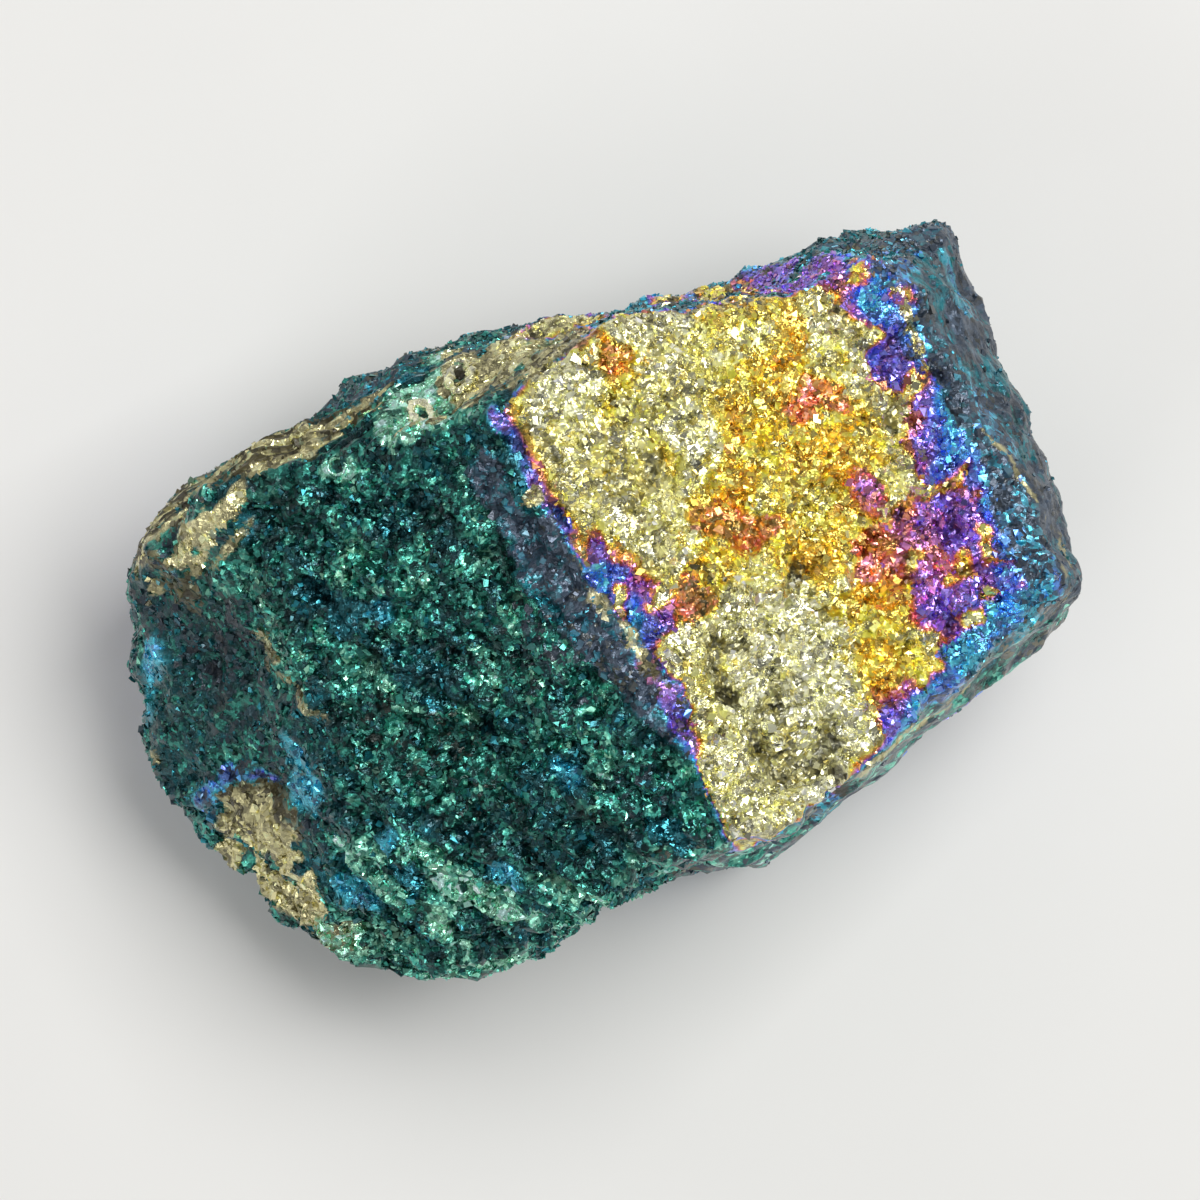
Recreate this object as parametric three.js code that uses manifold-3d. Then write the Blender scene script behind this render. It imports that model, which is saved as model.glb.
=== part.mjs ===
// A hand-sized lump of peacock ore: chalcopyrite and bornite, broken out of a vein, with a tarnished skin.
// Units are millimetres, +Z is up. The origin lies on the surface that the stone rests on, under its middle.
//
// The stone is one solid. Fracture faces bound it, and breaks cut ledges, notches and chips into it. A low
// relief of ridges and lumps lies on top. The surface is found along rays that leave the stone's heart.
import * as THREE from 'three';
import { mergeVertices } from 'three/addons/utils/BufferGeometryUtils.js';
import Module from 'manifold-3d';

// Driving dimensions
const LENGTH = 57.4; // along X
const WIDTH = 44.8; // along Y
const HEIGHT = 35.6; // along Z, rest spot to ridge
const HEART = new THREE.Vector3(0, 0, 0.46 * HEIGHT); // the rays start here
const CELLS = 28; // grid cells along each side of the cube that the rays go through
const RIDGE = [1.0, -1.5, HEIGHT - 0.6]; // middle of the crest between the teal slope and the gold face

// A fracture face. Its outward normal leans by tilt from straight up, towards heading (0 is +X, 90 is +Y).
const face = (heading, tilt, at) => ({ heading, tilt, at });

const FRACTURES = [
  // the upper faces
  face(214, 30, RIDGE), // broad teal slope
  face(15, 12, RIDGE), // gold face
  face(207, 55, [-19.9, -3.5, 24.0]), // slate end
  face(248, 58, [-8.0, -15.8, 25.8]), // striated lower slope
  face(27, 69, [22.8, 10.6, 29.4]), // steel side, right
  face(310, 74, [19.2, -7.1, 31.1]), // bevel, lower right
  face(118, 66, [-15.9, 9.8, 30.0]), // bevel, upper left
  // the near-upright sides, which give the outline from above
  face(118, 86, [-17.1, 11.4, 20]),
  face(104, 91, [3.7, 18.9, 25]),
  face(91, 91, [18.4, 22.9, 24]),
  face(21, 87, [25.1, 11.4, 16]),
  face(352, 86, [29.2, 0.4, 15]),
  face(312, 87, [20.9, -7.6, 16]),
  face(305, 87, [10.2, -14.9, 16]),
  face(292, 87, [-2.2, -21.5, 14]),
  face(263, 86, [-12.0, -22.0, 13]),
  face(222, 86, [-24.6, -16.2, 11]),
  face(186, 86, [-28.2, -5.5, 12]),
  face(147, 83, [-27.4, 4.9, 15]),
  // the undercut faces, down to the rest spot
  face(18, 117, [26.0, 6.5, 11]),
  face(96, 106, [12.0, 20.6, 10]),
  face(126, 116, [-16.0, 12.0, 11]),
  face(176, 124, [-28.0, 0.0, 7.5]),
  face(232, 119, [-22.0, -15.2, 4.5]),
  face(274, 112, [-6.0, -20.8, 6]),
  face(322, 121, [19.6, -8.0, 9]),
  face(95, 150, [4.0, 12.5, 2.4]),
  face(30, 151, [13.5, 7.5, 2.6]),
  face(338, 154, [14.0, -5.0, 2.6]),
  face(270, 140, [-1.0, -13.0, 2.6]),
  face(205, 160, [-13.5, -5.0, 2.0]),
  face(150, 150, [-11.0, 7.0, 2.6]),
];

// A break takes away what lies outside all of its faces.
const BREAKS = [
  // bay in the upper side
  [face(100, 88, [4.0, 17.7, 22]), face(111, 87, [6.0, 17.9, 22])],
  // bay in the lower side
  [face(273, 87, [5.8, -15.6, 16]), face(303, 86, [2.3, -16.6, 16])],
  // notch beside the slate end
  [face(195, 82, [-19.4, -17.0, 12]), face(239, 82, [-20.2, -16.4, 12])],
  // chip along the crest
  [face(214, 56, [1.6, 0.6, 34.2]), face(300, 64, [5.6, -3.4, 33]), face(130, 70, [-2.2, 4.2, 33.6])],
  // undercut step on the far side
  [face(96, 84, [4, 16.6, 12]), face(112, 148, [8, 17.5, 14])],
  // undercut step on the right
  [face(12, 84, [24.0, 4.0, 8]), face(30, 146, [26, 4, 12.5])],
];

// Thin ledges that run along the upper left edge, like the leaves of a book.
const LEAVES = {
  count: 3,
  first: [-15.6, 9.2, 29.8],
  heading: 118,
  step: 1.15, // outward, from each ledge to the next
  drop: 2.6,
  upright: 82,
  tread: 40,
};

// Low relief, from broad swells to lumps, with sharp ridges: each octave's wavelength and its depth.
const RELIEF = [
  { size: 15, depth: 0.5, seed: 11 },
  { size: 7, depth: 0.7, seed: 23 },
  { size: 3.4, depth: 0.4, seed: 37 },
];
const WARP = { size: 7, reach: 0.6, seed: 51 }; // bends the edges between the faces
const LATTICE_TURN = new THREE.Euler(0.5, 0.6, 0.7);
const EDGE = 1.1; // how far from an edge its rounding starts
const STEPS = 30; // steps of the march along each ray

const COLOUR = '#1d5a60';
const ROUGHNESS = 0.38;
const METALNESS = 0.85;

// A number from 0 to 1 for each point of a whole-number lattice.
function latticeValue(x, y, z, seed) {
  let h = Math.imul(x, 374761393) + Math.imul(y, 668265263);
  h += Math.imul(z, 1440662683) + Math.imul(seed, 1013904223);
  h = Math.imul(h ^ (h >>> 13), 1274126177);
  h = Math.imul(h ^ (h >>> 15), 1103515245);
  return ((h ^ (h >>> 16)) >>> 0) / 4294967295;
}

const ease = (t) => t * t * (3 - 2 * t);
const mix = (a, b, t) => a + (b - a) * t;

// Smooth noise from -1 to 1, with features of the given size, on a lattice turned away from the stone's axes.
function noise(point, size, seed) {
  const [x, y, z] = point.clone().applyEuler(LATTICE_TURN).divideScalar(size).toArray();
  const [ix, iy, iz] = [Math.floor(x), Math.floor(y), Math.floor(z)];
  const [tx, ty, tz] = [ease(x - ix), ease(y - iy), ease(z - iz)];
  const row = (dy, dz) =>
    mix(latticeValue(ix, iy + dy, iz + dz, seed), latticeValue(ix + 1, iy + dy, iz + dz, seed), tx);
  return 2 * mix(mix(row(0, 0), row(1, 0), ty), mix(row(0, 1), row(1, 1), ty), tz) - 1;
}

// The greater of two distances, rounded where they are close, and the lesser in the same way.
const smoothMax = (a, b) => Math.max(a, b) + Math.max(EDGE - Math.abs(a - b), 0) ** 2 / (4 * EDGE);
const smoothMin = (a, b) => -smoothMax(-a, -b);

// The plane of a face, as its normal and a point on it.
function planeOf({ heading, tilt, at }) {
  const [h, t] = [THREE.MathUtils.degToRad(heading), THREE.MathUtils.degToRad(tilt)];
  const normal = new THREE.Vector3(Math.cos(h) * Math.sin(t), Math.sin(h) * Math.sin(t), Math.cos(t));
  return new THREE.Plane().setFromNormalAndCoplanarPoint(normal, new THREE.Vector3(...at));
}

// The breaks that leave the thin ledges: each is further out and lower than the last.
function leafBreaks() {
  const h = THREE.MathUtils.degToRad(LEAVES.heading);
  return Array.from({ length: LEAVES.count }, (_, k) => {
    const out = k * LEAVES.step;
    const [x, y, z] = LEAVES.first;
    const at = [x + out * Math.cos(h), y + out * Math.sin(h), z - k * LEAVES.drop];
    return [face(LEAVES.heading, LEAVES.upright, at), face(LEAVES.heading, LEAVES.tread, at)];
  });
}

const fracturePlanes = FRACTURES.map(planeOf);
const breakPlanes = [...BREAKS, ...leafBreaks()].map((faces) => faces.map(planeOf));

// How far a point lies outside the stone, and less than zero inside it.
function distanceOutside(point) {
  const bend = [0, 1, 2].map((k) => WARP.reach * noise(point, WARP.size, WARP.seed + k));
  const bent = new THREE.Vector3(...bend).add(point);
  const away = (planes) => planes.map((plane) => plane.distanceToPoint(bent));
  const hull = away(fracturePlanes).reduce(smoothMax);
  const cuts = breakPlanes.map((planes) => away(planes).reduce(smoothMin));
  const ridge = ({ size, depth, seed }) => depth * (0.6 - 2 * Math.abs(noise(point, size, seed)));
  return cuts.reduce(smoothMax, hull) - RELIEF.reduce((sum, octave) => sum + ridge(octave), 0);
}

// The point of the surface along a ray from the heart.
function surfacePoint(ray) {
  const point = HEART.clone();
  for (let k = 0; k < STEPS; k++) point.addScaledVector(ray, -distanceOutside(point));
  return point;
}

// How far the middle of a line between two corners of the grid lies from the surface.
function missOf(positions, a, b) {
  const [first, second] = [a, b].map((k) => new THREE.Vector3().fromArray(positions, 3 * k));
  return Math.abs(distanceOutside(first.lerp(second, 0.5)));
}

// A closed surface through a grid of rays on the six sides of a cube, as long and wide as the stone.
function stoneSurface() {
  const sides = [
    [[1, 0, 0], [0, 1, 0], [0, 0, 1]],
    [[-1, 0, 0], [0, 0, 1], [0, 1, 0]],
    [[0, 1, 0], [0, 0, 1], [1, 0, 0]],
    [[0, -1, 0], [1, 0, 0], [0, 0, 1]],
    [[0, 0, 1], [1, 0, 0], [0, 1, 0]],
    [[0, 0, -1], [0, 1, 0], [1, 0, 0]],
  ].map((axes) => axes.map((axis) => new THREE.Vector3(...axis)));
  const stretch = new THREE.Vector3(LENGTH, WIDTH, HEIGHT);
  const spread = (k) => Math.tan((k / CELLS - 0.5) * (Math.PI / 2));
  const positions = [];
  const index = []; // each cell is split along the diagonal that lies nearer the surface
  for (const [out, across, up] of sides) {
    const first = positions.length / 3;
    const at = (i, j) => first + i * (CELLS + 1) + j;
    for (let i = 0; i <= CELLS; i++) {
      for (let j = 0; j <= CELLS; j++) {
        const ray = out.clone().addScaledVector(across, spread(i)).addScaledVector(up, spread(j));
        positions.push(...surfacePoint(ray.multiply(stretch).normalize()).toArray());
      }
    }
    for (let i = 0; i < CELLS; i++) {
      for (let j = 0; j < CELLS; j++) {
        const [a, b, c, d] = [at(i, j), at(i + 1, j), at(i + 1, j + 1), at(i, j + 1)];
        const nearer = missOf(positions, a, c) < missOf(positions, b, d);
        index.push(...(nearer ? [a, b, c, a, c, d] : [a, b, d, b, c, d]));
      }
    }
  }
  const surface = new THREE.BufferGeometry();
  surface.setAttribute('position', new THREE.Float32BufferAttribute(positions, 3));
  surface.setIndex(index);
  return surface;
}

const wasm = await Module();
wasm.setup();

// A closed geometry as a manifold-3d solid.
function solidOf(geometry) {
  geometry.deleteAttribute('normal');
  geometry.deleteAttribute('uv');
  const merged = mergeVertices(geometry, 1e-3);
  return new wasm.Manifold(
    new wasm.Mesh({
      numProp: 3,
      vertProperties: merged.attributes.position.array,
      triVerts: new Uint32Array(merged.index.array),
    }),
  );
}

// A manifold-3d solid as a three.js geometry.
function geometryOf(solid) {
  const { vertProperties, triVerts } = solid.getMesh();
  const geometry = new THREE.BufferGeometry();
  geometry.setAttribute('position', new THREE.BufferAttribute(vertProperties, 3));
  geometry.setIndex(new THREE.BufferAttribute(triVerts, 1));
  geometry.computeVertexNormals();
  return geometry;
}

// The whole stone, flat where it rests.
function stoneGeometry() {
  const below = new THREE.BoxGeometry(2 * LENGTH, 2 * WIDTH, HEIGHT).translate(0, 0, -HEIGHT / 2);
  return geometryOf(solidOf(stoneSurface()).subtract(solidOf(below)));
}

const tarnish = new THREE.MeshStandardMaterial({ color: COLOUR, roughness: ROUGHNESS, metalness: METALNESS });
const stone = new THREE.Mesh(stoneGeometry(), tarnish);
stone.name = 'peacock_ore';

const part = new THREE.Group();
part.name = 'peacock_ore_stone';
part.add(stone);

export default part;
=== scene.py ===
"""A hand-sized lump of peacock ore, dressed with its tarnish and its crystalline grain.

The stone is chalcopyrite and bornite, broken out of a vein. Its skin is one closed surface: fracture faces
bound it, breaks cut ledges and chips into it, and ridges, lumps and crystal grains lie on top. The tarnish
is a thin film, whose thickness runs from pale gold over amber, magenta, violet and blue to teal and mint.

Lengths in the classes are millimetres, +Z is up, and the origin lies under the stone on what it rests on.
Meshes are turned into metres when they are written.
"""

import logging
from dataclasses import dataclass, field
from enum import Enum
from typing import ClassVar

import bpy
import numpy as np
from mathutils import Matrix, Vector


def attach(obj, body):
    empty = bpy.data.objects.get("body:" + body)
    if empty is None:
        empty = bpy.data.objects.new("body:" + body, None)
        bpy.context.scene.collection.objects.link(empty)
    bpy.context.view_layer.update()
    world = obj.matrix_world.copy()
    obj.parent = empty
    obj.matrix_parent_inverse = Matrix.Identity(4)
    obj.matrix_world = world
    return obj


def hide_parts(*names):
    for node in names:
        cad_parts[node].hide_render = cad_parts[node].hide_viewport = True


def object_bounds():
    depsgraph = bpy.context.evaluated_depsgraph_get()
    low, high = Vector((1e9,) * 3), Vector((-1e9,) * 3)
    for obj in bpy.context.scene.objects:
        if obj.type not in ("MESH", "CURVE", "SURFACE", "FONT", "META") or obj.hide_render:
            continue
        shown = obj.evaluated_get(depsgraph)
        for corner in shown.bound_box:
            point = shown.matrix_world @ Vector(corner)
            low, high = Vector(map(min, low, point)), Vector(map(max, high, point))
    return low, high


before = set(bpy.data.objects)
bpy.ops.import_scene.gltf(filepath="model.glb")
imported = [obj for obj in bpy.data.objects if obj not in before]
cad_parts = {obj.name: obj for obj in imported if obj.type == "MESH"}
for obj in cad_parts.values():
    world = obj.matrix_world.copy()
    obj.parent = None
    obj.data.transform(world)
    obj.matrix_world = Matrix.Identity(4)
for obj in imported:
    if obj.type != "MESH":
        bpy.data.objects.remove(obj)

LOG = logging.getLogger("peacock_ore")
CAD_BOX = [list(corner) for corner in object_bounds()]

NODE = "peacock_ore"
MM = 0.001  # metres in a millimetre

Array = np.ndarray
Point = tuple[float, float, float]


# ---------------------------------------------------------------------------------------------------------
# Fields: noise and crystal facets, all worked out for whole arrays of points

# Large odd numbers and shifts that scramble a lattice point's whole numbers.
AXIS_MIXERS = (374761393, 668265263, 1440662683)
SEED_MIXER = 1013904223
ROUNDS = ((13, 1274126177), (15, 1103515245))
LAST_SHIFT = 16
LARGEST = 0xFFFFFFFF  # the largest 32-bit whole number

TINY = 1e-9  # keeps a division clear of zero


def lattice_turn(turns: Point = (0.5, 0.6, 0.7)) -> Array:
    """The turn of the noise lattice: the product of plain turns about X, Y and Z.

    Args:
        turns: the three turns, in radians.

    Returns:
        The matrix, shape (3, 3).
    """
    (a, c, e), (b, d, f) = np.cos(turns), np.sin(turns)
    about_x = np.array([[1, 0, 0], [0, a, -b], [0, b, a]])
    about_y = np.array([[c, 0, d], [0, 1, 0], [-d, 0, c]])
    about_z = np.array([[e, -f, 0], [f, e, 0], [0, 0, 1]])
    return about_x @ about_y @ about_z


LATTICE_TURN = lattice_turn()


def lattice_value(cell: Array, seed: int) -> Array:
    """A number from 0 to 1 for each point of a whole-number lattice.

    The three numbers are mixed by multiplying and shifting 32-bit whole numbers.

    Args:
        cell: whole-number points, shape (..., 3).
        seed: picks another set of numbers.

    Returns:
        The numbers, shape (...).
    """
    whole = cell.astype(np.int64).astype(np.uint32)
    x, y, z = (whole[..., k] * np.uint32(mixer) for k, mixer in enumerate(AXIS_MIXERS))
    h = x + y + z + np.uint32(seed * SEED_MIXER & LARGEST)
    for shift, mixer in ROUNDS:
        h = (h ^ (h >> np.uint32(shift))) * np.uint32(mixer)
    return (h ^ (h >> np.uint32(LAST_SHIFT))) / float(LARGEST)


def noise(points: Array, size: float, seed: int) -> Array:
    """Smooth noise from -1 to 1: the lattice values at the eight corners round a point, in eased shares.

    Args:
        points: points in mm, shape (n, 3).
        size: distance between lattice points, in mm.
        seed: picks another pattern.

    Returns:
        The noise at each point.
    """
    q = points @ LATTICE_TURN.T / size
    base = np.floor(q)
    t = q - base
    t = t * t * (3 - 2 * t)
    total = np.zeros(len(points))
    for corner in np.ndindex(2, 2, 2):
        share = np.prod(np.where(np.array(corner) == 1, t, 1 - t), axis=1)
        total += share * lattice_value(base + np.array(corner), seed)
    return 2 * total - 1


def crystals(points: Array, size: float, seed: int, rise: float = 0.3, level: float = 0.3) -> Array:
    """Packed crystal grains: near each point, the highest of the nearby blocks, each a turned cube.

    Each lattice cell holds one block with a random middle, turn and rise. Its height at a point is its rise
    less the greatest of the three distances from its middle along its own axes, so its sides are flat facets.

    Args:
        points: points in mm, shape (n, 3).
        size: distance between the blocks, in mm.
        seed: picks another pattern.
        rise: how much higher the highest block stands than the lowest, as a share of size.
        level: what brings the average to about zero, as a share of size.

    Returns:
        The height at each point, in mm.
    """
    q = points @ LATTICE_TURN.T / size
    base = np.floor(q)
    best = np.full(len(points), -np.inf)
    for corner in np.ndindex(3, 3, 3):
        cell = base + np.array(corner) - 1
        draw = [lattice_value(cell, seed + k) for k in range(8)]
        away = q - cell - np.stack(draw[:3], axis=1)
        w, x, y, z = np.stack(draw[3:7]) - 0.5
        length = np.sqrt(w * w + x * x + y * y + z * z) + TINY
        w, x, y, z = w / length, x / length, y / length, z / length
        rows = (
            (1 - 2 * (y * y + z * z), 2 * (x * y - w * z), 2 * (x * z + w * y)),
            (2 * (x * y + w * z), 1 - 2 * (x * x + z * z), 2 * (y * z - w * x)),
            (2 * (x * z - w * y), 2 * (y * z + w * x), 1 - 2 * (x * x + y * y)),
        )
        reach = np.max([np.abs(sum(r[k] * away[:, k] for k in range(3))) for r in rows], axis=0)
        best = np.maximum(best, rise * draw[7] - reach)
    return size * (best + level)


def step_up(value: Array, low: float, high: float) -> Array:
    """Rises from 0 at low to 1 at high, easing in and out."""
    t = np.clip((value - low) / (high - low), 0, 1)
    return t * t * (3 - 2 * t)


def mix(a: Array | float, b: Array | float, share: Array | float) -> Array | float:
    """Goes from a to b as share goes from 0 to 1."""
    return a + (b - a) * share


def unit(vectors: Array) -> Array:
    """The vectors, shape (n, 3), each made 1 long."""
    return vectors / np.linalg.norm(vectors, axis=1, keepdims=True)


@dataclass(frozen=True)
class Step:
    """A smooth step: nothing up to low, and much from high on."""

    low: float
    high: float
    much: float = 1.0

    def of(self, value: Array) -> Array:
        """How far the step has risen at the value."""
        return self.much * step_up(value, self.low, self.high)


@dataclass(frozen=True)
class Octave:
    """One size of a pattern: its wavelength in mm, its depth, and its seed."""

    size: float
    depth: float
    seed: int

    def at(self, points: Array) -> Array:
        """Its noise at the points, times its depth."""
        return self.depth * noise(points, self.size, self.seed)

    def ridges(self, points: Array, crest: float = 0.3, fall: float = 1.0) -> Array:
        """Sharp ridges where its noise is zero: crest there, less fall times the noise beside them."""
        return crest - fall * np.abs(noise(points, self.size, self.seed))


@dataclass(frozen=True)
class DrawnOut:
    """A pattern drawn out along a level heading, by pressing the points together along it first.

    heading is in degrees from +X, and much is the share of a point's place along it that is taken away.
    """

    octave: Octave
    heading: float = -42.0
    much: float = 0.82

    def at(self, points: Array) -> Array:
        """Its noise at the points.

        Args:
            points: points in mm, shape (n, 3).

        Returns:
            The noise, times the octave's depth.
        """
        along = np.array([np.cos(np.radians(self.heading)), np.sin(np.radians(self.heading)), 0.0])
        return self.octave.at(points - self.much * (points @ along)[:, None] * along)


def pattern(points: Array, octaves: tuple[Octave, ...], start: Array | float = 0.0) -> Array:
    """The noises of these octaves, added up from start."""
    return sum((octave.at(points) for octave in octaves), start)


# The fine ridges drawn out down the streaked slope, which are seen in the relief and in the tarnish.
STREAKS = DrawnOut(Octave(1.1, 1.0, 441))


# ---------------------------------------------------------------------------------------------------------
# The stone's form


class Kind(Enum):
    """What kind of surface a face has."""

    TEAL = "teal slope"
    GOLD = "gold face"
    SLATE = "slate end"
    STREAKED = "streaked slope"
    STEEL = "steel side"
    BEVEL = "lower bevel"
    LEAVES = "leafy edge"
    SIDE = "side"
    UNDER = "underside"


@dataclass(frozen=True)
class Face:
    """A fracture face through the point at: its outward normal leans by tilt from straight up, to heading.

    Both are in degrees. A heading of 0 is +X, and one of 90 is +Y.
    """

    heading: float
    tilt: float
    at: Point
    kind: Kind = Kind.SIDE

    @property
    def normal(self) -> Array:
        """The outward normal."""
        h, t = np.radians([self.heading, self.tilt])
        return np.array([np.cos(h) * np.sin(t), np.sin(h) * np.sin(t), np.cos(t)])

    def away(self, points: Array) -> Array:
        """How far the points lie outside the face's plane."""
        return points @ self.normal - self.normal @ np.array(self.at)


HEIGHT = 35.6
RIDGE = (1.0, -1.5, HEIGHT - 0.6)

FRACTURES = (
    Face(214, 30, RIDGE, Kind.TEAL),
    Face(15, 12, RIDGE, Kind.GOLD),
    Face(207, 55, (-19.9, -3.5, 24.0), Kind.SLATE),
    Face(248, 58, (-8.0, -15.8, 25.8), Kind.STREAKED),
    Face(27, 69, (22.8, 10.6, 29.4), Kind.STEEL),
    Face(310, 74, (19.2, -7.1, 31.1), Kind.BEVEL),
    Face(118, 66, (-15.9, 9.8, 30.0), Kind.LEAVES),
    Face(118, 86, (-17.1, 11.4, 20), Kind.LEAVES),
    Face(104, 91, (3.7, 18.9, 25)),
    Face(91, 91, (18.4, 22.9, 24)),
    Face(21, 87, (25.1, 11.4, 16), Kind.STEEL),
    Face(352, 86, (29.2, 0.4, 15), Kind.STEEL),
    Face(312, 87, (20.9, -7.6, 16), Kind.BEVEL),
    Face(305, 87, (10.2, -14.9, 16), Kind.BEVEL),
    Face(292, 87, (-2.2, -21.5, 14), Kind.STREAKED),
    Face(263, 86, (-12.0, -22.0, 13), Kind.STREAKED),
    Face(222, 86, (-24.6, -16.2, 11), Kind.TEAL),
    Face(186, 86, (-28.2, -5.5, 12), Kind.SLATE),
    Face(147, 83, (-27.4, 4.9, 15), Kind.LEAVES),
    Face(18, 117, (26.0, 6.5, 11), Kind.UNDER),
    Face(96, 106, (12.0, 20.6, 10)),
    Face(126, 116, (-16.0, 12.0, 11), Kind.UNDER),
    Face(176, 124, (-28.0, 0.0, 7.5), Kind.UNDER),
    Face(232, 119, (-22.0, -15.2, 4.5), Kind.UNDER),
    Face(274, 112, (-6.0, -20.8, 6), Kind.UNDER),
    Face(322, 121, (19.6, -8.0, 9), Kind.UNDER),
    Face(95, 150, (4.0, 12.5, 2.4), Kind.UNDER),
    Face(30, 151, (13.5, 7.5, 2.6), Kind.UNDER),
    Face(338, 154, (14.0, -5.0, 2.6), Kind.UNDER),
    Face(270, 140, (-1.0, -13.0, 2.6), Kind.UNDER),
    Face(205, 160, (-13.5, -5.0, 2.0), Kind.UNDER),
    Face(150, 150, (-11.0, 7.0, 2.6), Kind.UNDER),
)

# A break takes away what lies outside all of its faces.
BREAKS = (
    (Face(100, 88, (4.0, 17.7, 22)), Face(111, 87, (6.0, 17.9, 22))),
    (Face(273, 87, (5.8, -15.6, 16), Kind.BEVEL), Face(303, 86, (2.3, -16.6, 16), Kind.STREAKED)),
    (Face(195, 82, (-19.4, -17.0, 12), Kind.TEAL), Face(239, 82, (-20.2, -16.4, 12), Kind.TEAL)),
    (
        Face(214, 56, (1.6, 0.6, 34.2), Kind.TEAL),
        Face(300, 64, (5.6, -3.4, 33), Kind.TEAL),
        Face(130, 70, (-2.2, 4.2, 33.6), Kind.TEAL),
    ),
    (Face(96, 84, (4, 16.6, 12)), Face(112, 148, (8, 17.5, 14), Kind.UNDER)),
    (Face(12, 84, (24.0, 4.0, 8), Kind.STEEL), Face(30, 146, (26, 4, 12.5), Kind.UNDER)),
)


@dataclass(frozen=True)
class Leaves:
    """Thin ledges along the upper left edge, like the leaves of a book: each is further out and lower."""

    count: int = 3
    first: Point = (-15.6, 9.2, 29.8)
    heading: float = 118
    step: float = 1.15
    drop: float = 2.6
    upright: float = 82
    tread: float = 40

    def breaks(self) -> tuple[tuple[Face, ...], ...]:
        """The breaks that leave the ledges, each one more step out and one more drop down from the first.

        Returns:
            An upright face and a tread for each ledge.
        """
        h = np.radians(self.heading)
        x, y, z = self.first
        made = []
        for k in range(self.count):
            at = (x + k * self.step * np.cos(h), y + k * self.step * np.sin(h), z - k * self.drop)
            tilts = (self.upright, self.tread)
            made.append(tuple(Face(self.heading, tilt, at, Kind.LEAVES) for tilt in tilts))
        return tuple(made)


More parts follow.
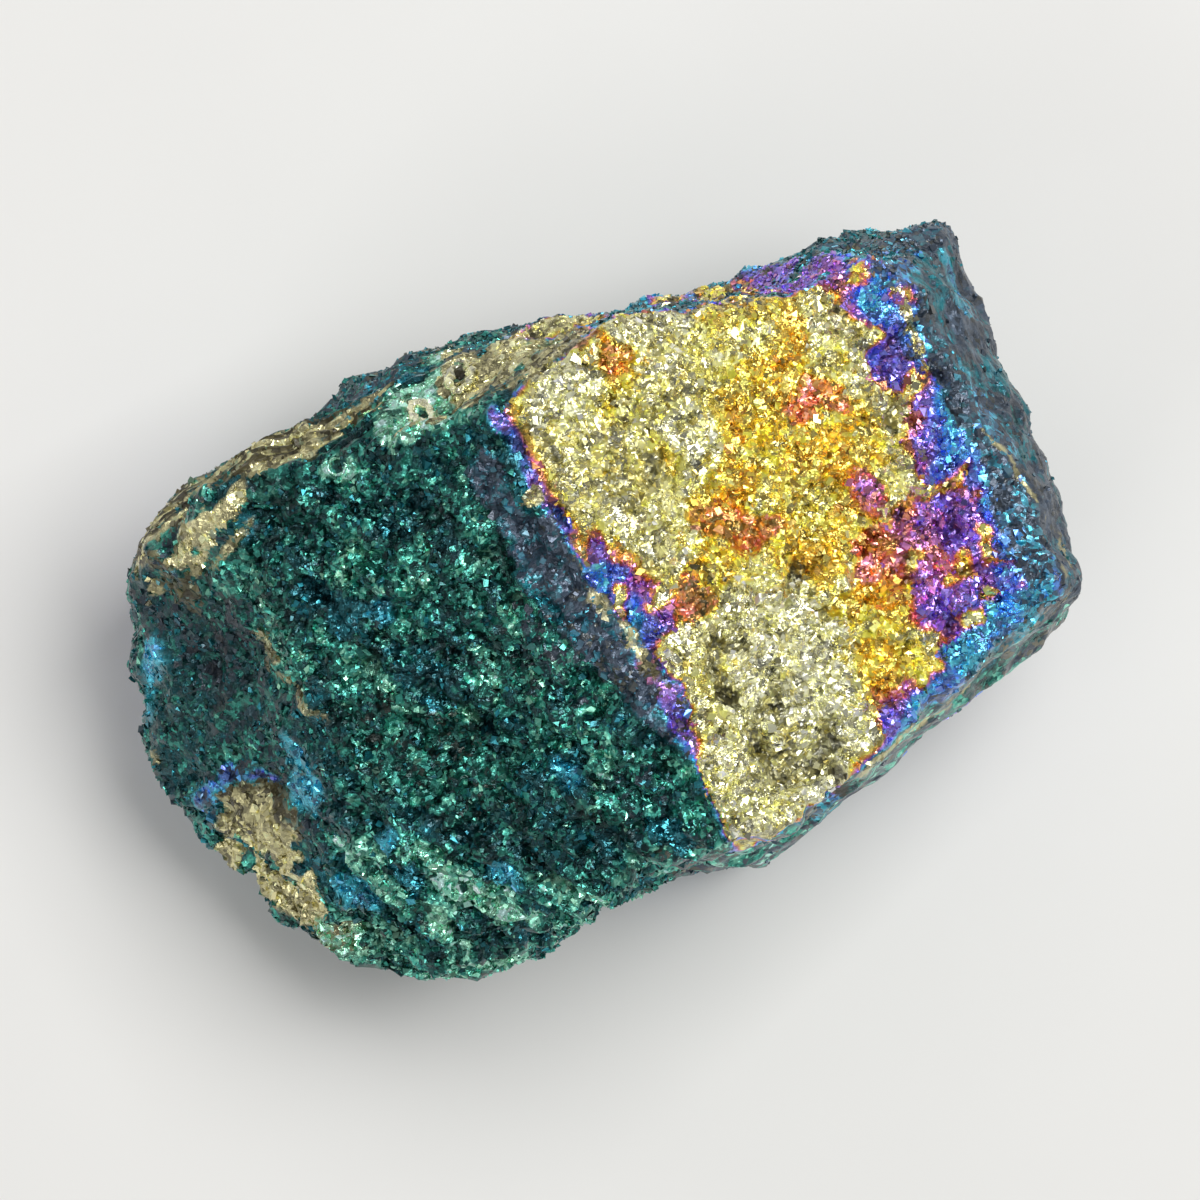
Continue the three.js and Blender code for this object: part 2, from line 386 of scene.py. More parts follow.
@dataclass
class StoneForm:
    """The stone's body: the same fracture faces, breaks and relief as the solid that it stands for."""

    stretch: Point = (57.4, 44.8, HEIGHT)  # length, width and height
    heart: Point = (0.0, 0.0, 0.46 * HEIGHT)  # where the rays to the surface start
    relief: tuple[Octave, ...] = (Octave(15, 0.5, 11), Octave(7, 0.7, 23), Octave(3.4, 0.4, 37))
    crest: float = 0.6  # how high the relief's ridges stand, as a share of an octave's depth
    fall: float = 2.0  # how steeply they fall to the sides
    warp: Octave = Octave(7, 0.6, 51)  # bends the faces
    edge: float = 1.1  # how wide the rounding is where two faces meet
    bed: float = 0.65  # thickness of a thin bed
    bed_lean: float = 10.0  # how far the beds' line leans from straight up, in degrees
    bed_bends: tuple[Octave, ...] = (Octave(5.0, 0.35, 431), Octave(1.2, 0.2, 432))
    steps: int = 30  # how often a point moves towards the surface
    faces: tuple[Face, ...] = FRACTURES
    breaks: tuple[tuple[Face, ...], ...] = BREAKS + Leaves().breaks()

    def bent(self, points: Array) -> Array:
        """The points, each moved a little by three noises, which bends the edges between the faces."""
        moves = [self.warp.depth * noise(points, self.warp.size, self.warp.seed + k) for k in range(3)]
        return points + np.stack(moves, axis=1)

    def rounded_max(self, a: Array, b: Array) -> Array:
        """The greater of two distances, plus the squared overlap over four edges where they are close."""
        return np.maximum(a, b) + np.maximum(self.edge - np.abs(a - b), 0) ** 2 / (4 * self.edge)

    def outside(self, points: Array) -> Array:
        """How far points lie outside the stone.

        The rounded maximum of the distances from all faces, and of each break's rounded minimum, less the
        ridges of the relief.

        Args:
            points: points in mm, shape (n, 3).

        Returns:
            The distance of each, less than zero inside.
        """
        bent = self.bent(points)
        total = self.faces[0].away(bent)
        for face in self.faces[1:]:
            total = self.rounded_max(total, face.away(bent))
        for cut in self.breaks:
            depth = cut[0].away(bent)
            for face in cut[1:]:
                depth = -self.rounded_max(-depth, -face.away(bent))
            total = self.rounded_max(total, depth)
        for octave in self.relief:
            total = total - octave.depth * octave.ridges(points, self.crest, self.fall)
        return total

    def beds(self, points: Array) -> Array:
        """Which thin bed each point lies in, counted along one straight line and bent by two noises.

        The line leans a little from straight up, towards the teal slope's heading. Beyond the ridge, on the
        gold face's side, they are counted along that face's normal.

        Args:
            points: points in mm, shape (n, 3).

        Returns:
            The count at each point, with fractions.
        """
        left, right = self.faces[0], self.faces[1]
        beyond = right.away(points) > left.away(points)
        line = Face(left.heading, self.bed_lean, RIDGE).normal
        along = np.where(beyond, points @ right.normal, points @ line) / self.bed
        return pattern(points, self.bed_bends, along)

    def surface(self, rays: Array) -> Array:
        """The points of the surface along rays from the heart, but not below what the stone rests on.

        Each point starts at the heart and moves along its ray by its distance from the surface, again and
        again.

        Args:
            rays: unit vectors, shape (n, 3).

        Returns:
            The points, shape (n, 3).
        """
        heart = np.array(self.heart)
        reach = np.zeros(len(rays))
        for _ in range(self.steps):
            reach = reach - self.outside(heart + rays * reach[:, None])
        down = np.where(rays[:, 2] < 0, -rays[:, 2], TINY)
        reach = np.minimum(reach, heart[2] / down)
        return heart + rays * reach[:, None]

    def normals(self, points: Array, gap: float = 0.15) -> Array:
        """Unit normals: the slope of the distance field, from its differences along each axis.

        Args:
            points: points in mm, shape (n, 3).
            gap: half the length of each difference, in mm.

        Returns:
            The normals, shape (n, 3).
        """
        slopes = [self.outside(points + move) - self.outside(points - move) for move in gap * np.eye(3)]
        return unit(np.stack(slopes, axis=1))

    def shares(self, points: Array, blend: float | Array) -> dict[Kind, Array]:
        """How much of each kind of face a point of the surface has.

        A face's share falls with how far its plane is from being the outermost there, by e for each blend
        length. Inside a break it falls with how far its plane is from being the innermost.

        Args:
            points: points in mm, shape (n, 3).
            blend: the length over which one kind gives way to another, in mm.

        Returns:
            A share from 0 to 1 for each kind, which add up to 1.
        """
        bent = self.bent(points)
        hull = [(face.kind, face.away(bent)) for face in self.faces]
        cuts = []
        for cut in self.breaks:
            away = np.stack([face.away(bent) for face in cut])
            least = away.min(axis=0)
            inner = np.exp((least - away) / blend)
            cuts.append((cut, least, inner / inner.sum(axis=0)))
        most = np.max([away for _, away in hull] + [least for _, least, _ in cuts], axis=0)
        shares = {kind: np.zeros(len(points)) for kind in Kind}
        for kind, away in hull:
            shares[kind] += np.exp((away - most) / blend)
        for cut, least, inner in cuts:
            for face, part in zip(cut, inner):
                shares[face.kind] += part * np.exp((least - most) / blend)
        total = sum(shares.values())
        return {kind: share / total for kind, share in shares.items()}


# ---------------------------------------------------------------------------------------------------------
# The tarnish, as numbers over the surface


@dataclass(frozen=True)
class Look:
    """How one kind of face looks.

    film is the tarnish film from 0 (bare gold) to 1 (mint), and spread is how much it varies. slate, bare and
    rust are the shares of dull blue-grey, of pale untarnished ore and of brown. lump and grain are the depths
    of the two sizes of crystals, grit is that of the finest grain, fold that of thin ridges, or of creases
    where it is less than zero, and layer and streak those of the thin beds and of the drawn-out ridges. The
    last number is the face's own painted shade, the least hollow shade that it has, which darkens it.
    """

    film: float
    spread: float
    slate: float
    bare: float
    rust: float
    lump: float
    grain: float
    grit: float = 1.0
    fold: float = 0.0
    layer: float = 0.0
    streak: float = 0.0
    face_shade: float = 0.0


LOOKS = {
    Kind.TEAL: Look(0.855, 0.07, 0.05, 0.0, 0.01, 0.75, 0.65, 1.0, 0.65, streak=0.35, face_shade=0.17),
    Kind.GOLD: Look(0.05, 0.03, 0.0, 0.0, 0.0, 0.7, 0.6, 1.0, -0.95),
    Kind.SLATE: Look(0.845, 0.05, 0.3, 0.0, 0.03, 0.25, 0.4, 0.9, 0.2, face_shade=0.3),
    Kind.STREAKED: Look(0.88, 0.08, 0.0, 0.02, 0.0, 0.45, 0.5, 1.0, 0.3, streak=1.5),
    Kind.STEEL: Look(0.77, 0.05, 0.72, 0.04, 0.0, 0.1, 0.3, 0.9, 0.1, layer=0.06, face_shade=0.33),
    Kind.BEVEL: Look(0.865, 0.05, 0.5, 0.12, 0.0, 0.1, 0.15, 0.7, 0.05, layer=0.03, face_shade=0.05),
    Kind.LEAVES: Look(0.83, 0.05, 0.35, 1.1, 0.9, 0.12, 0.2, 0.7, 0.0, layer=0.3),
    Kind.SIDE: Look(0.81, 0.08, 0.3, 0.08, 0.08, 0.3, 0.35, 0.9, 0.3),
    Kind.UNDER: Look(0.8, 0.08, 0.3, 0.1, 0.12, 0.4, 0.4, 0.9, 0.3),
}


def blended(shares: dict[Kind, Array], names: tuple[str, ...]) -> dict[str, Array]:
    """Each named number of the looks, summed over the kinds of face by their shares."""
    return {name: sum(getattr(LOOKS[k], name) * share for k, share in shares.items()) for name in names}


# How the rim of a marking is drawn: how far out it lies, as a share of the radius, and how ragged and how
# soft it is, in mm. The rag and the softness are at most these shares of the radius.
RIM_PLACE = 1.05
RIM_RAG, MOST_RAG = 0.55, 0.45
RIM_SOFT, MOST_SOFT = 0.3, 0.5


@dataclass(frozen=True)
class Mark:
    """A marking on the upper faces: an ellipse with a ragged rim, as seen from above.

    x, y and the half lengths long and wide are in mm, and long points towards turn degrees from +X. What it
    gives (film, slate, bare, rust, and hollow, which is painted shade) replaces what was there, and the rest
    stays.
    """

    x: float
    y: float
    long: float
    wide: float
    turn: float
    film: float | None = None
    slate: float | None = None
    bare: float | None = None
    rust: float | None = None
    hollow: float | None = None

    def mask(self, points: Array, rag: Array) -> Array:
        """1 in the middle of the ellipse and 0 outside: the rim's place less the radius, ragged and stepped.

        Args:
            points: points in mm, shape (n, 3).
            rag: the noise that moves the rim.

        Returns:
            The mask at each point.
        """
        c, s = np.cos(np.radians(self.turn)), np.sin(np.radians(self.turn))
        across, up = points[:, 0] - self.x, points[:, 1] - self.y
        radius = np.hypot((across * c + up * s) / self.long, (up * c - across * s) / self.wide)
        size = np.sqrt(self.long * self.wide)
        soft = min(MOST_SOFT, RIM_SOFT / size)
        return step_up(RIM_PLACE - radius + rag * min(MOST_RAG, RIM_RAG / size), -soft, soft)


@dataclass(frozen=True)
class Dent:
    """A round hollow in the upper faces, or a dome where its depth is less than zero, in mm."""

    x: float
    y: float
    radius: float
    depth: float

    def height(self, points: Array) -> Array:
        """The change of height: minus the depth in the middle, falling off as a bell curve of the radius."""
        squared = (points[:, 0] - self.x) ** 2 + (points[:, 1] - self.y) ** 2
        return -self.depth * np.exp(-squared / self.radius**2)


DENTS = (
    Dent(2.3, 7.6, 1.1, 0.55),
    Dent(0.1, 12.0, 0.7, 0.4),
    Dent(12.0, 1.7, 0.7, 0.7),
    Dent(10.4, -7.2, 1.0, 0.7),
    Dent(11.6, -9.1, 1.4, 0.9),
    Dent(3.5, 4.0, 0.9, 0.3),
    Dent(9.0, 4.2, 1.2, 0.15),
    Dent(11.7, -0.6, 2.7, -0.5),
    Dent(13.3, -7.0, 2.6, -0.6),
    Dent(7.7, -7.5, 2.2, -0.4),
    Dent(15.0, 9.4, 2.5, -0.4),
    Dent(-2.2, 9.0, 3.0, -0.3),
    Dent(7.6, 7.0, 1.8, -0.3),
    Dent(-17.5, 0.3, 1.2, 0.5),
    Dent(-10.8, 11.3, 1.3, -0.4),
    Dent(-10.8, 11.3, 0.6, 0.6),
    Dent(-15.9, 8.1, 0.6, 0.35),
    Dent(-8.4, 13.4, 1.5, -0.5),
    Dent(-8.5, 13.4, 0.5, 0.4),
    Dent(-11.0, -9.0, 3.0, 0.5),
    Dent(-4.0, -6.0, 2.4, 0.3),
)

# In the markings, hollow is painted shade: more of it darkens pits, holes and dull patches, and 0 takes the
# shade away.
TEAL_SLOPE_MARKS = (
    Mark(-18.3, 6.4, 3.4, 1.6, 40, film=0.85, bare=0, rust=0.05, slate=0.1),
    Mark(-14.6, 9.0, 3.2, 1.7, 38, film=0.85, bare=0, rust=0, slate=0.1),
    Mark(-11.0, 11.6, 3.2, 2.0, 38, film=0.84, bare=0, rust=0, slate=0.1),
    Mark(-7.4, 13.2, 2.7, 2.3, 40, film=0.84, bare=0, rust=0, slate=0.1),
    Mark(-10.4, 12.2, 3.4, 2.0, 38, film=0.96, slate=0, hollow=0),
    Mark(-4.6, 15.9, 2.4, 0.9, 30, bare=0.95, rust=0.1, hollow=0),
    Mark(0.1, -2.2, 7.5, 1.7, 130, slate=0.75, film=0.76, bare=0.08, hollow=0.05),
    Mark(-3.3, 2.1, 3.7, 1.7, 120, slate=0.75, film=0.77, bare=0.04, hollow=0.08),
    Mark(-6.1, 6.0, 2.7, 1.1, 115, slate=0.75, film=0.76, hollow=0.08),
    Mark(3.5, -12.3, 3.7, 1.8, 150, slate=0.25, film=0.86, hollow=0.1),
    Mark(-3.3, -2.2, 3.7, 1.4, 120, slate=0.4),
    Mark(-4.0, 6.2, 0.6, 0.5, 0, bare=0.9),
    Mark(1.7, -2.2, 2.1, 0.4, 125, bare=0.75),
    Mark(0.1, -0.4, 1.4, 0.4, 125, bare=0.6),
    Mark(-1.3, 3.0, 1.1, 0.3, 120, bare=0.5),
    Mark(-9.4, 12.4, 2.0, 1.4, 35, film=0.97, slate=0, hollow=0),
    Mark(-13.3, 13.2, 2.2, 0.6, 40, film=0.74, slate=0.5),
    Mark(-11.1, 13.6, 1.1, 0.5, 30, film=0.76, slate=0.2),
    Mark(-7.2, 12.5, 0.9, 0.6, 60, film=0.73, slate=0, hollow=0),
    Mark(-7.9, 11.5, 1.4, 0.7, 20, film=0.9),
    Mark(-15.9, 8.1, 1.1, 1.0, 0, film=0.93),
    Mark(-15.9, 8.1, 0.5, 0.5, 0, film=0.86, hollow=0.7),
    Mark(-8.4, 13.4, 1.8, 1.5, 60, bare=0.95, slate=0, rust=0.05, hollow=0),
    Mark(-8.5, 13.4, 0.4, 0.3, 60, bare=0.2, rust=0.8, hollow=0.8),
    Mark(-10.8, 11.3, 1.2, 1.0, -40, bare=0.8, slate=0, rust=0, hollow=0),
    Mark(-10.8, 11.3, 0.5, 0.3, -40, bare=0, rust=0.1, hollow=0.95, film=0.85),
    Mark(-4.9, 15.8, 1.4, 0.8, 40, bare=0.6, rust=0.75, hollow=0.15),
    Mark(-4.9, 15.6, 0.5, 0.4, 40, rust=1, hollow=0.7),
    Mark(-6.1, 14.5, 2.2, 1.2, 50, bare=0.95, rust=0.15, hollow=0),
    Mark(-15.7, -0.6, 1.8, 0.9, 140, film=0.79, hollow=0.45),
    Mark(-13.3, -0.6, 1.0, 0.7, 140, film=0.74, hollow=0.4),
    Mark(-17.5, 0.3, 1.4, 1.3, 60, hollow=0.5, film=0.8),
    Mark(-21.2, 0.1, 3.4, 1.3, 125, film=0.882, slate=0),
    Mark(-22.8, 2.4, 1.6, 0.9, 130, film=0.87, slate=0),
    Mark(-21.5, 4.5, 0.9, 0.7, 60, film=0.76),
    Mark(-18.9, -3.1, 2.5, 1.1, 120, film=0.88, slate=0),
    Mark(-12.5, -3.4, 1.2, 0.8, 140, film=0.79, hollow=0.2),
    Mark(-9.5, -6.2, 1.4, 0.5, 155, film=0.71, slate=0, hollow=0),
    Mark(-8.3, -6.8, 1.1, 0.4, 150, film=0.96, slate=0),
    Mark(-10.7, -4.5, 3.0, 1.1, 155, film=0.825),
    Mark(-10.7, -9.6, 6.2, 2.6, 150, film=0.865, rust=0.16, hollow=0.4),
    Mark(-9.1, -7.9, 2.5, 1.1, 160, film=0.87, rust=0.2),
    Mark(-18.6, -9.1, 1.5, 0.5, 125, film=0.71, slate=0, hollow=0),
    Mark(-18.0, -11.5, 1.3, 0.9, 100, film=0.705, slate=0, hollow=0),
    Mark(-2.0, -10.3, 1.6, 0.6, 135, film=0.715, slate=0, hollow=0),
    Mark(4.0, -13.9, 1.4, 0.6, 150, film=0.78, slate=0),
    Mark(-4.0, -14.6, 3.7, 1.4, 150, film=0.84),
)
SLATE_END_MARKS = (
    Mark(-25.4, 3.2, 3.2, 0.7, 52, bare=0.97, rust=0.08, hollow=0),
    Mark(-23.4, 4.9, 2.7, 0.7, 46, bare=0.97, rust=0.05, hollow=0),
    Mark(-24.4, 2.5, 2.3, 0.4, 58, bare=0.8, rust=0.25, hollow=0.1),
    Mark(-22.2, 3.7, 1.9, 0.4, 50, bare=0.6, rust=0.1),
    Mark(-26.0, 1.4, 2.1, 0.8, 130, bare=0.5, rust=0.5, slate=0.3),
    Mark(-24.4, -3.2, 5.2, 3.0, 110, hollow=0.55, slate=0.3),
    Mark(-26.2, -0.8, 3.0, 2.1, 100, slate=0.4, film=0.82, hollow=0.55),
    Mark(-22.8, -2.7, 2.5, 1.4, 60, slate=0.45, film=0.83, hollow=0.6),
    Mark(-27.6, -3.4, 1.3, 0.7, 80, film=0.67, slate=0, hollow=0),
    Mark(-27.0, -5.6, 1.8, 0.9, 80, film=0.73, slate=0, hollow=0),
    Mark(-20.3, -2.7, 1.4, 0.4, 120, bare=0.6, rust=0.3),
    Mark(-18.4, -5.4, 2.1, 0.3, 140, bare=0.65, rust=0.4),
    Mark(-25.7, -7.0, 2.5, 1.6, 110, film=0.83, slate=0.1, hollow=0.4),
    Mark(-25.7, -11.6, 3.2, 1.4, 110, film=0.83, slate=0.05),
    Mark(-22.8, -9.5, 1.4, 0.7, 20, film=0.88, slate=0),
    Mark(-23.3, -11.2, 1.9, 0.8, 50, film=0.6, slate=0.35, hollow=0.5),
    Mark(-20.9, -10.7, 1.4, 0.4, 170, film=0.54, slate=0.35, hollow=0.5),
    Mark(-21.4, -11.9, 2.2, 1.0, 170, film=0.8, rust=0.75, bare=0.7),
    Mark(-19.1, -12.7, 1.6, 0.5, 110, film=0.8, rust=0.75, bare=0.5),
    Mark(-18.8, -13.4, 1.4, 0.3, 105, film=0.8, rust=0.6, bare=0.6),
    Mark(-21.2, -14.6, 3.0, 2.0, 110, bare=0.97, rust=0.25, film=0.82, hollow=0.25),
    Mark(-20.3, -15.9, 2.5, 1.8, 130, bare=0.97, rust=0.16, film=0.82, hollow=0.15),
    Mark(-18.4, -17.8, 2.5, 1.1, 120, bare=0.95, rust=0.12, film=0.8),
    Mark(-19.6, -16.8, 2.6, 1.5, 125, bare=0.97, rust=0.12, film=0.82, hollow=0.15),
    Mark(-21.9, -12.9, 1.3, 1.0, 80, bare=0.9, rust=0.5, film=0.82, hollow=0.3),
    Mark(-27.8, -10.0, 1.1, 0.5, 100, bare=0.5),
)
STREAKED_SLOPE_MARKS = (
    Mark(-7.7, -17.4, 2.4, 0.9, 145, film=0.965, slate=0, hollow=0),
    Mark(-9.4, -16.0, 2.4, 0.7, 145, film=0.94, slate=0, hollow=0),
    Mark(-6.0, -16.4, 1.1, 0.6, 145, film=0.7, slate=0, hollow=0),
    Mark(-12.0, -16.5, 1.1, 0.7, 145, film=0.75, slate=0),
    Mark(-14.5, -17.8, 1.7, 0.9, 145, film=0.705, slate=0, hollow=0),
    Mark(-12.7, -14.3, 0.7, 0.5, 60, film=0.7),
    Mark(-15.9, -20.1, 1.7, 0.8, 150, film=0.97, bare=0.35, slate=0, hollow=0),
    Mark(-10.9, -20.0, 2.5, 1.0, 150, film=0.84, slate=0, hollow=0.4),
    Mark(-6.3, -20.3, 2.9, 1.2, 150, film=0.84, slate=0, hollow=0.4),
    Mark(-4.7, -18.2, 2.5, 0.6, 145, film=0.94, slate=0, hollow=0),
    Mark(-14.0, -15.9, 2.8, 0.6, 145, film=0.92, slate=0, hollow=0),
)
GOLD_FACE_MARKS = (
    Mark(1.6, 17.6, 6.4, 0.9, 14, film=0.06, bare=0.5, rust=0.3, slate=0),
    Mark(11.6, 20.0, 3.2, 0.9, 12, film=0.47, bare=0.15, rust=0, slate=0.45),
    Mark(17.8, 21.8, 3.2, 1.0, 20, film=0.76, bare=0.1, rust=0, slate=0.75),
    Mark(10.4, 9.9, 9.1, 5.5, 100, film=0.125, hollow=0.04),
    Mark(4.9, 13.6, 4.1, 1.6, 75, film=0.07),
    Mark(7.6, 17.7, 2.5, 1.4, 15, film=0.16),
    Mark(9.0, 11.7, 3.0, 1.8, 80, film=0.185),
    Mark(14.9, 9.4, 2.5, 1.8, 60, film=0.19),
    Mark(12.7, 10.6, 1.6, 1.4, 0, film=0.09),
    Mark(13.3, 17.0, 2.5, 2.1, 60, film=0.055),
    Mark(15.4, 13.8, 2.1, 0.8, 75, film=0.045),
    Mark(5.3, 9.9, 2.1, 1.4, 100, film=0.04),
    Mark(0.8, 14.9, 2.5, 1.1, 100, film=0.225, hollow=0.1),
    Mark(1.2, 12.0, 1.6, 1.0, 60, film=0.145),
    Mark(2.1, 10.8, 1.4, 0.4, 135, film=0.2),
    Mark(3.5, 9.0, 1.6, 0.4, 125, film=0.17),
    Mark(-1.3, 15.4, 0.9, 0.6, 70, film=0.27, rust=0.5),
    Mark(11.4, 15.8, 2.2, 0.9, 100, film=0.235),
    Mark(13.2, 12.4, 1.8, 0.9, 150, film=0.3),
    Mark(11.7, 11.3, 1.1, 0.8, 100, film=0.27),
    Mark(7.6, 6.9, 1.9, 1.4, 20, film=0.2),
    Mark(7.9, 5.4, 1.4, 0.6, 150, film=0.28),
    Mark(10.4, 7.2, 1.4, 0.9, 60, film=0.13),
    Mark(11.5, 2.6, 2.1, 1.3, 150, film=0.185),
    Mark(11.5, 4.6, 1.3, 0.9, 80, film=0.17),
    Mark(9.0, 4.2, 2.0, 0.8, 10, film=0.30, rust=0.25),
    Mark(5.8, 0.5, 1.7, 1.4, 60, film=0.27, rust=0.4),
    Mark(6.7, 2.5, 1.6, 1.1, 120, film=0.15),
    Mark(15.9, 6.5, 1.6, 1.0, 110, film=0.335, rust=0.3),
    Mark(14.0, 4.0, 2.1, 0.9, 75, film=0.17, rust=0.1),
    Mark(16.8, 2.6, 2.5, 1.7, 70, film=0.345),
    Mark(18.4, 4.4, 1.1, 1.6, 0, film=0.38),
    Mark(16.1, 1.4, 1.0, 0.7, 60, film=0.28),
    Mark(17.1, -0.4, 2.1, 1.4, 120, film=0.205),
    Mark(14.9, -0.2, 1.4, 1.1, 0, film=0.15),
    Mark(18.4, -3.6, 2.3, 1.7, 60, film=0.11),
    Mark(16.3, -4.0, 1.7, 1.3, 100, film=0.17),
    Mark(19.5, -1.1, 1.4, 1.0, 60, film=0.33),
    Mark(11.7, 19.3, 2.6, 0.8, 10, film=0.465, slate=0.15),
    Mark(14.0, 19.6, 1.0, 0.6, 80, film=0.42),
    Mark(17.2, 19.6, 1.4, 1.4, 100, film=0.62, slate=0.5, bare=0.1),
    Mark(18.7, 15.4, 3.4, 0.6, 106, film=0.6, slate=0.3),
    Mark(19.9, 12.6, 1.4, 0.5, 110, film=0.6),
    Mark(22.5, 10.8, 2.5, 1.0, 110, film=0.65, slate=0.55, hollow=0.15),
    Mark(24.1, 7.6, 2.7, 1.0, 110, film=0.66, slate=0.65, hollow=0.15),
    Mark(25.3, 3.6, 4.6, 1.3, 110, film=0.68, slate=0.65),
    Mark(25.2, -0.4, 2.1, 1.4, 60, film=0.7, slate=0.4),
    Mark(22.5, -3.8, 3.2, 0.8, 42, film=0.72, slate=0.35),
    Mark(5.2, 18.1, 0.9, 0.5, 40, film=0.6),
    Mark(15.4, 17.7, 1.4, 0.8, 120, film=0.43),
    Mark(16.7, 17.4, 1.4, 0.9, 130, film=0.585),
    Mark(17.9, 15.8, 1.4, 0.8, 110, film=0.6),
    Mark(17.2, 14.0, 1.7, 1.3, 95, film=0.5),
    Mark(18.9, 14.5, 1.6, 0.4, 105, film=0.55),
    Mark(19.3, 11.7, 1.6, 0.8, 80, film=0.48),
    Mark(18.4, 9.9, 1.4, 0.8, 80, film=0.39),
    Mark(20.4, 8.8, 1.9, 1.6, 60, film=0.575),
    Mark(20.7, 11.5, 1.4, 0.8, 100, film=0.63),
    Mark(19.1, 8.8, 1.4, 0.7, 75, film=0.5),
    Mark(20.9, 5.1, 2.1, 1.7, 30, film=0.46),
    Mark(19.7, 4.4, 1.4, 0.7, 80, film=0.415),
    Mark(22.5, 8.1, 1.7, 1.0, 80, film=0.55),
    Mark(23.7, 5.8, 2.1, 1.0, 100, film=0.64),
    Mark(22.0, 2.8, 2.2, 1.8, 60, film=0.465),
    Mark(19.5, 1.4, 1.7, 1.0, 80, film=0.41),
    Mark(21.3, 0.1, 2.5, 1.0, 30, film=0.47),
    Mark(24.1, 2.1, 2.2, 0.8, 100, film=0.6),
    Mark(23.9, -0.8, 1.4, 1.1, 60, film=0.68),
    Mark(21.5, -3.1, 1.4, 1.0, 60, film=0.705),
    Mark(22.7, -2.0, 1.4, 0.7, 40, film=0.63),
    Mark(20.7, -1.5, 1.1, 0.8, 60, film=0.44),
    Mark(20.2, -5.0, 1.6, 0.8, 50, film=0.6),
    Mark(18.4, -6.3, 1.6, 0.8, 50, film=0.61),
    Mark(17.1, -7.1, 1.4, 0.6, 80, film=0.46),
    Mark(18.1, -5.4, 1.0, 0.5, 60, film=0.36),
    Mark(13.2, -12.0, 1.4, 0.9, 120, film=0.6),
    Mark(12.4, -11.1, 1.0, 0.5, 110, film=0.42),
    Mark(13.7, -13.0, 0.9, 0.6, 100, film=0.7),
    Mark(17.0, 11.7, 1.1, 0.7, 20, film=0.085),
    Mark(17.7, 10.8, 0.9, 0.3, 100, film=0.05),
    Mark(18.0, 7.6, 1.1, 0.3, 100, film=0.05),
    Mark(19.4, 6.6, 1.3, 0.3, 15, film=0.08),
    Mark(21.2, 7.5, 1.0, 0.3, 50, film=0.1),
    Mark(21.6, 2.0, 0.9, 0.6, 80, film=0.17),
    Mark(22.9, 3.3, 1.1, 0.4, 100, film=0.06),
    Mark(22.7, 4.2, 0.5, 0.4, 0, film=0.1),
    Mark(23.2, 0.5, 0.6, 0.2, 20, film=0.16),
    Mark(19.3, 13.6, 0.7, 0.3, 80, film=0.2),
    Mark(15.4, 19.6, 0.9, 0.4, 100, film=0.14),
    Mark(10.4, -3.6, 4.8, 2.7, 80, film=0.02),
    Mark(11.7, -7.9, 4.3, 3.4, 60, film=0.02),
    Mark(9.5, -11.1, 3.9, 2.3, 70, film=0.045),
    Mark(9.0, 0.3, 2.1, 1.4, 60, film=0.05),
    Mark(20.8, 13.4, 4.2, 0.7, 110, film=0.76, slate=0.75, hollow=0.3),
    Mark(23.4, 8.6, 2.4, 0.5, 118, film=0.7, slate=0.7, hollow=0.25),
    Mark(12.0, 20.9, 3.6, 0.45, 12, film=0.76, slate=0.75, bare=0.25, hollow=0.2),
    Mark(2.6, 7.4, 1.0, 0.7, 120, hollow=0.6),
    Mark(11.7, 2.0, 0.8, 0.4, 60, hollow=0.8, rust=0.4),
    Mark(10.5, -7.0, 0.8, 0.5, 100, hollow=0.6),
    Mark(11.5, -9.3, 1.4, 0.6, 110, hollow=0.65, rust=0.25),
    Mark(14.2, -10.8, 1.0, 0.4, 120, hollow=0.6, rust=0.5),
    Mark(1.3, 11.6, 0.7, 0.4, 60, hollow=0.5, rust=0.5),
    Mark(10.1, -5.2, 1.5, 0.4, 20, hollow=0.35),
    Mark(18.3, 16.9, 2.4, 0.3, 110, bare=0.85, slate=0.0, hollow=0),
    Mark(0.8, 7.6, 2.6, 1.7, 110, film=0.06, hollow=0.3),
    Mark(12.0, 3.2, 1.8, 0.7, 150, hollow=0.3, rust=0.1),
    Mark(7.6, 4.5, 2.7, 1.0, 165, film=0.3, hollow=0.3, rust=0.2),
    Mark(2.2, 11.4, 1.3, 1.2, 0, film=0.07, hollow=0),
    Mark(13.3, 9.2, 2.6, 1.3, 15, film=0.16, hollow=0),
    Mark(10.6, 14.2, 1.6, 1.0, 80, film=0.2, hollow=0),
    Mark(9.8, -0.4, 3.0, 1.3, 15, film=0.03, hollow=0),
    Mark(3.0, 16.6, 3.0, 1.1, 15, film=0.04, hollow=0),
    Mark(13.5, -4.6, 1.6, 1.2, 60, film=0.02, hollow=0),
    Mark(21.4, -3.0, 1.1, 0.9, 0, film=0.665, slate=0, hollow=0),
    Mark(23.9, -0.6, 1.1, 0.8, 60, film=0.675, slate=0, hollow=0),
    Mark(16.2, 17.9, 1.0, 0.7, 130, film=0.64, slate=0, hollow=0),
    Mark(20.7, 8.4, 1.0, 0.7, 60, film=0.6, slate=0, hollow=0),
    Mark(19.0, -7.4, 2.8, 0.3, 36, film=0.87, bare=0.75, hollow=0),
    Mark(16.2, -9.6, 1.4, 0.3, 42, film=0.87, bare=0.6, hollow=0),
    Mark(22.6, -4.2, 1.6, 0.3, 48, film=0.86, bare=0.45, hollow=0),
)
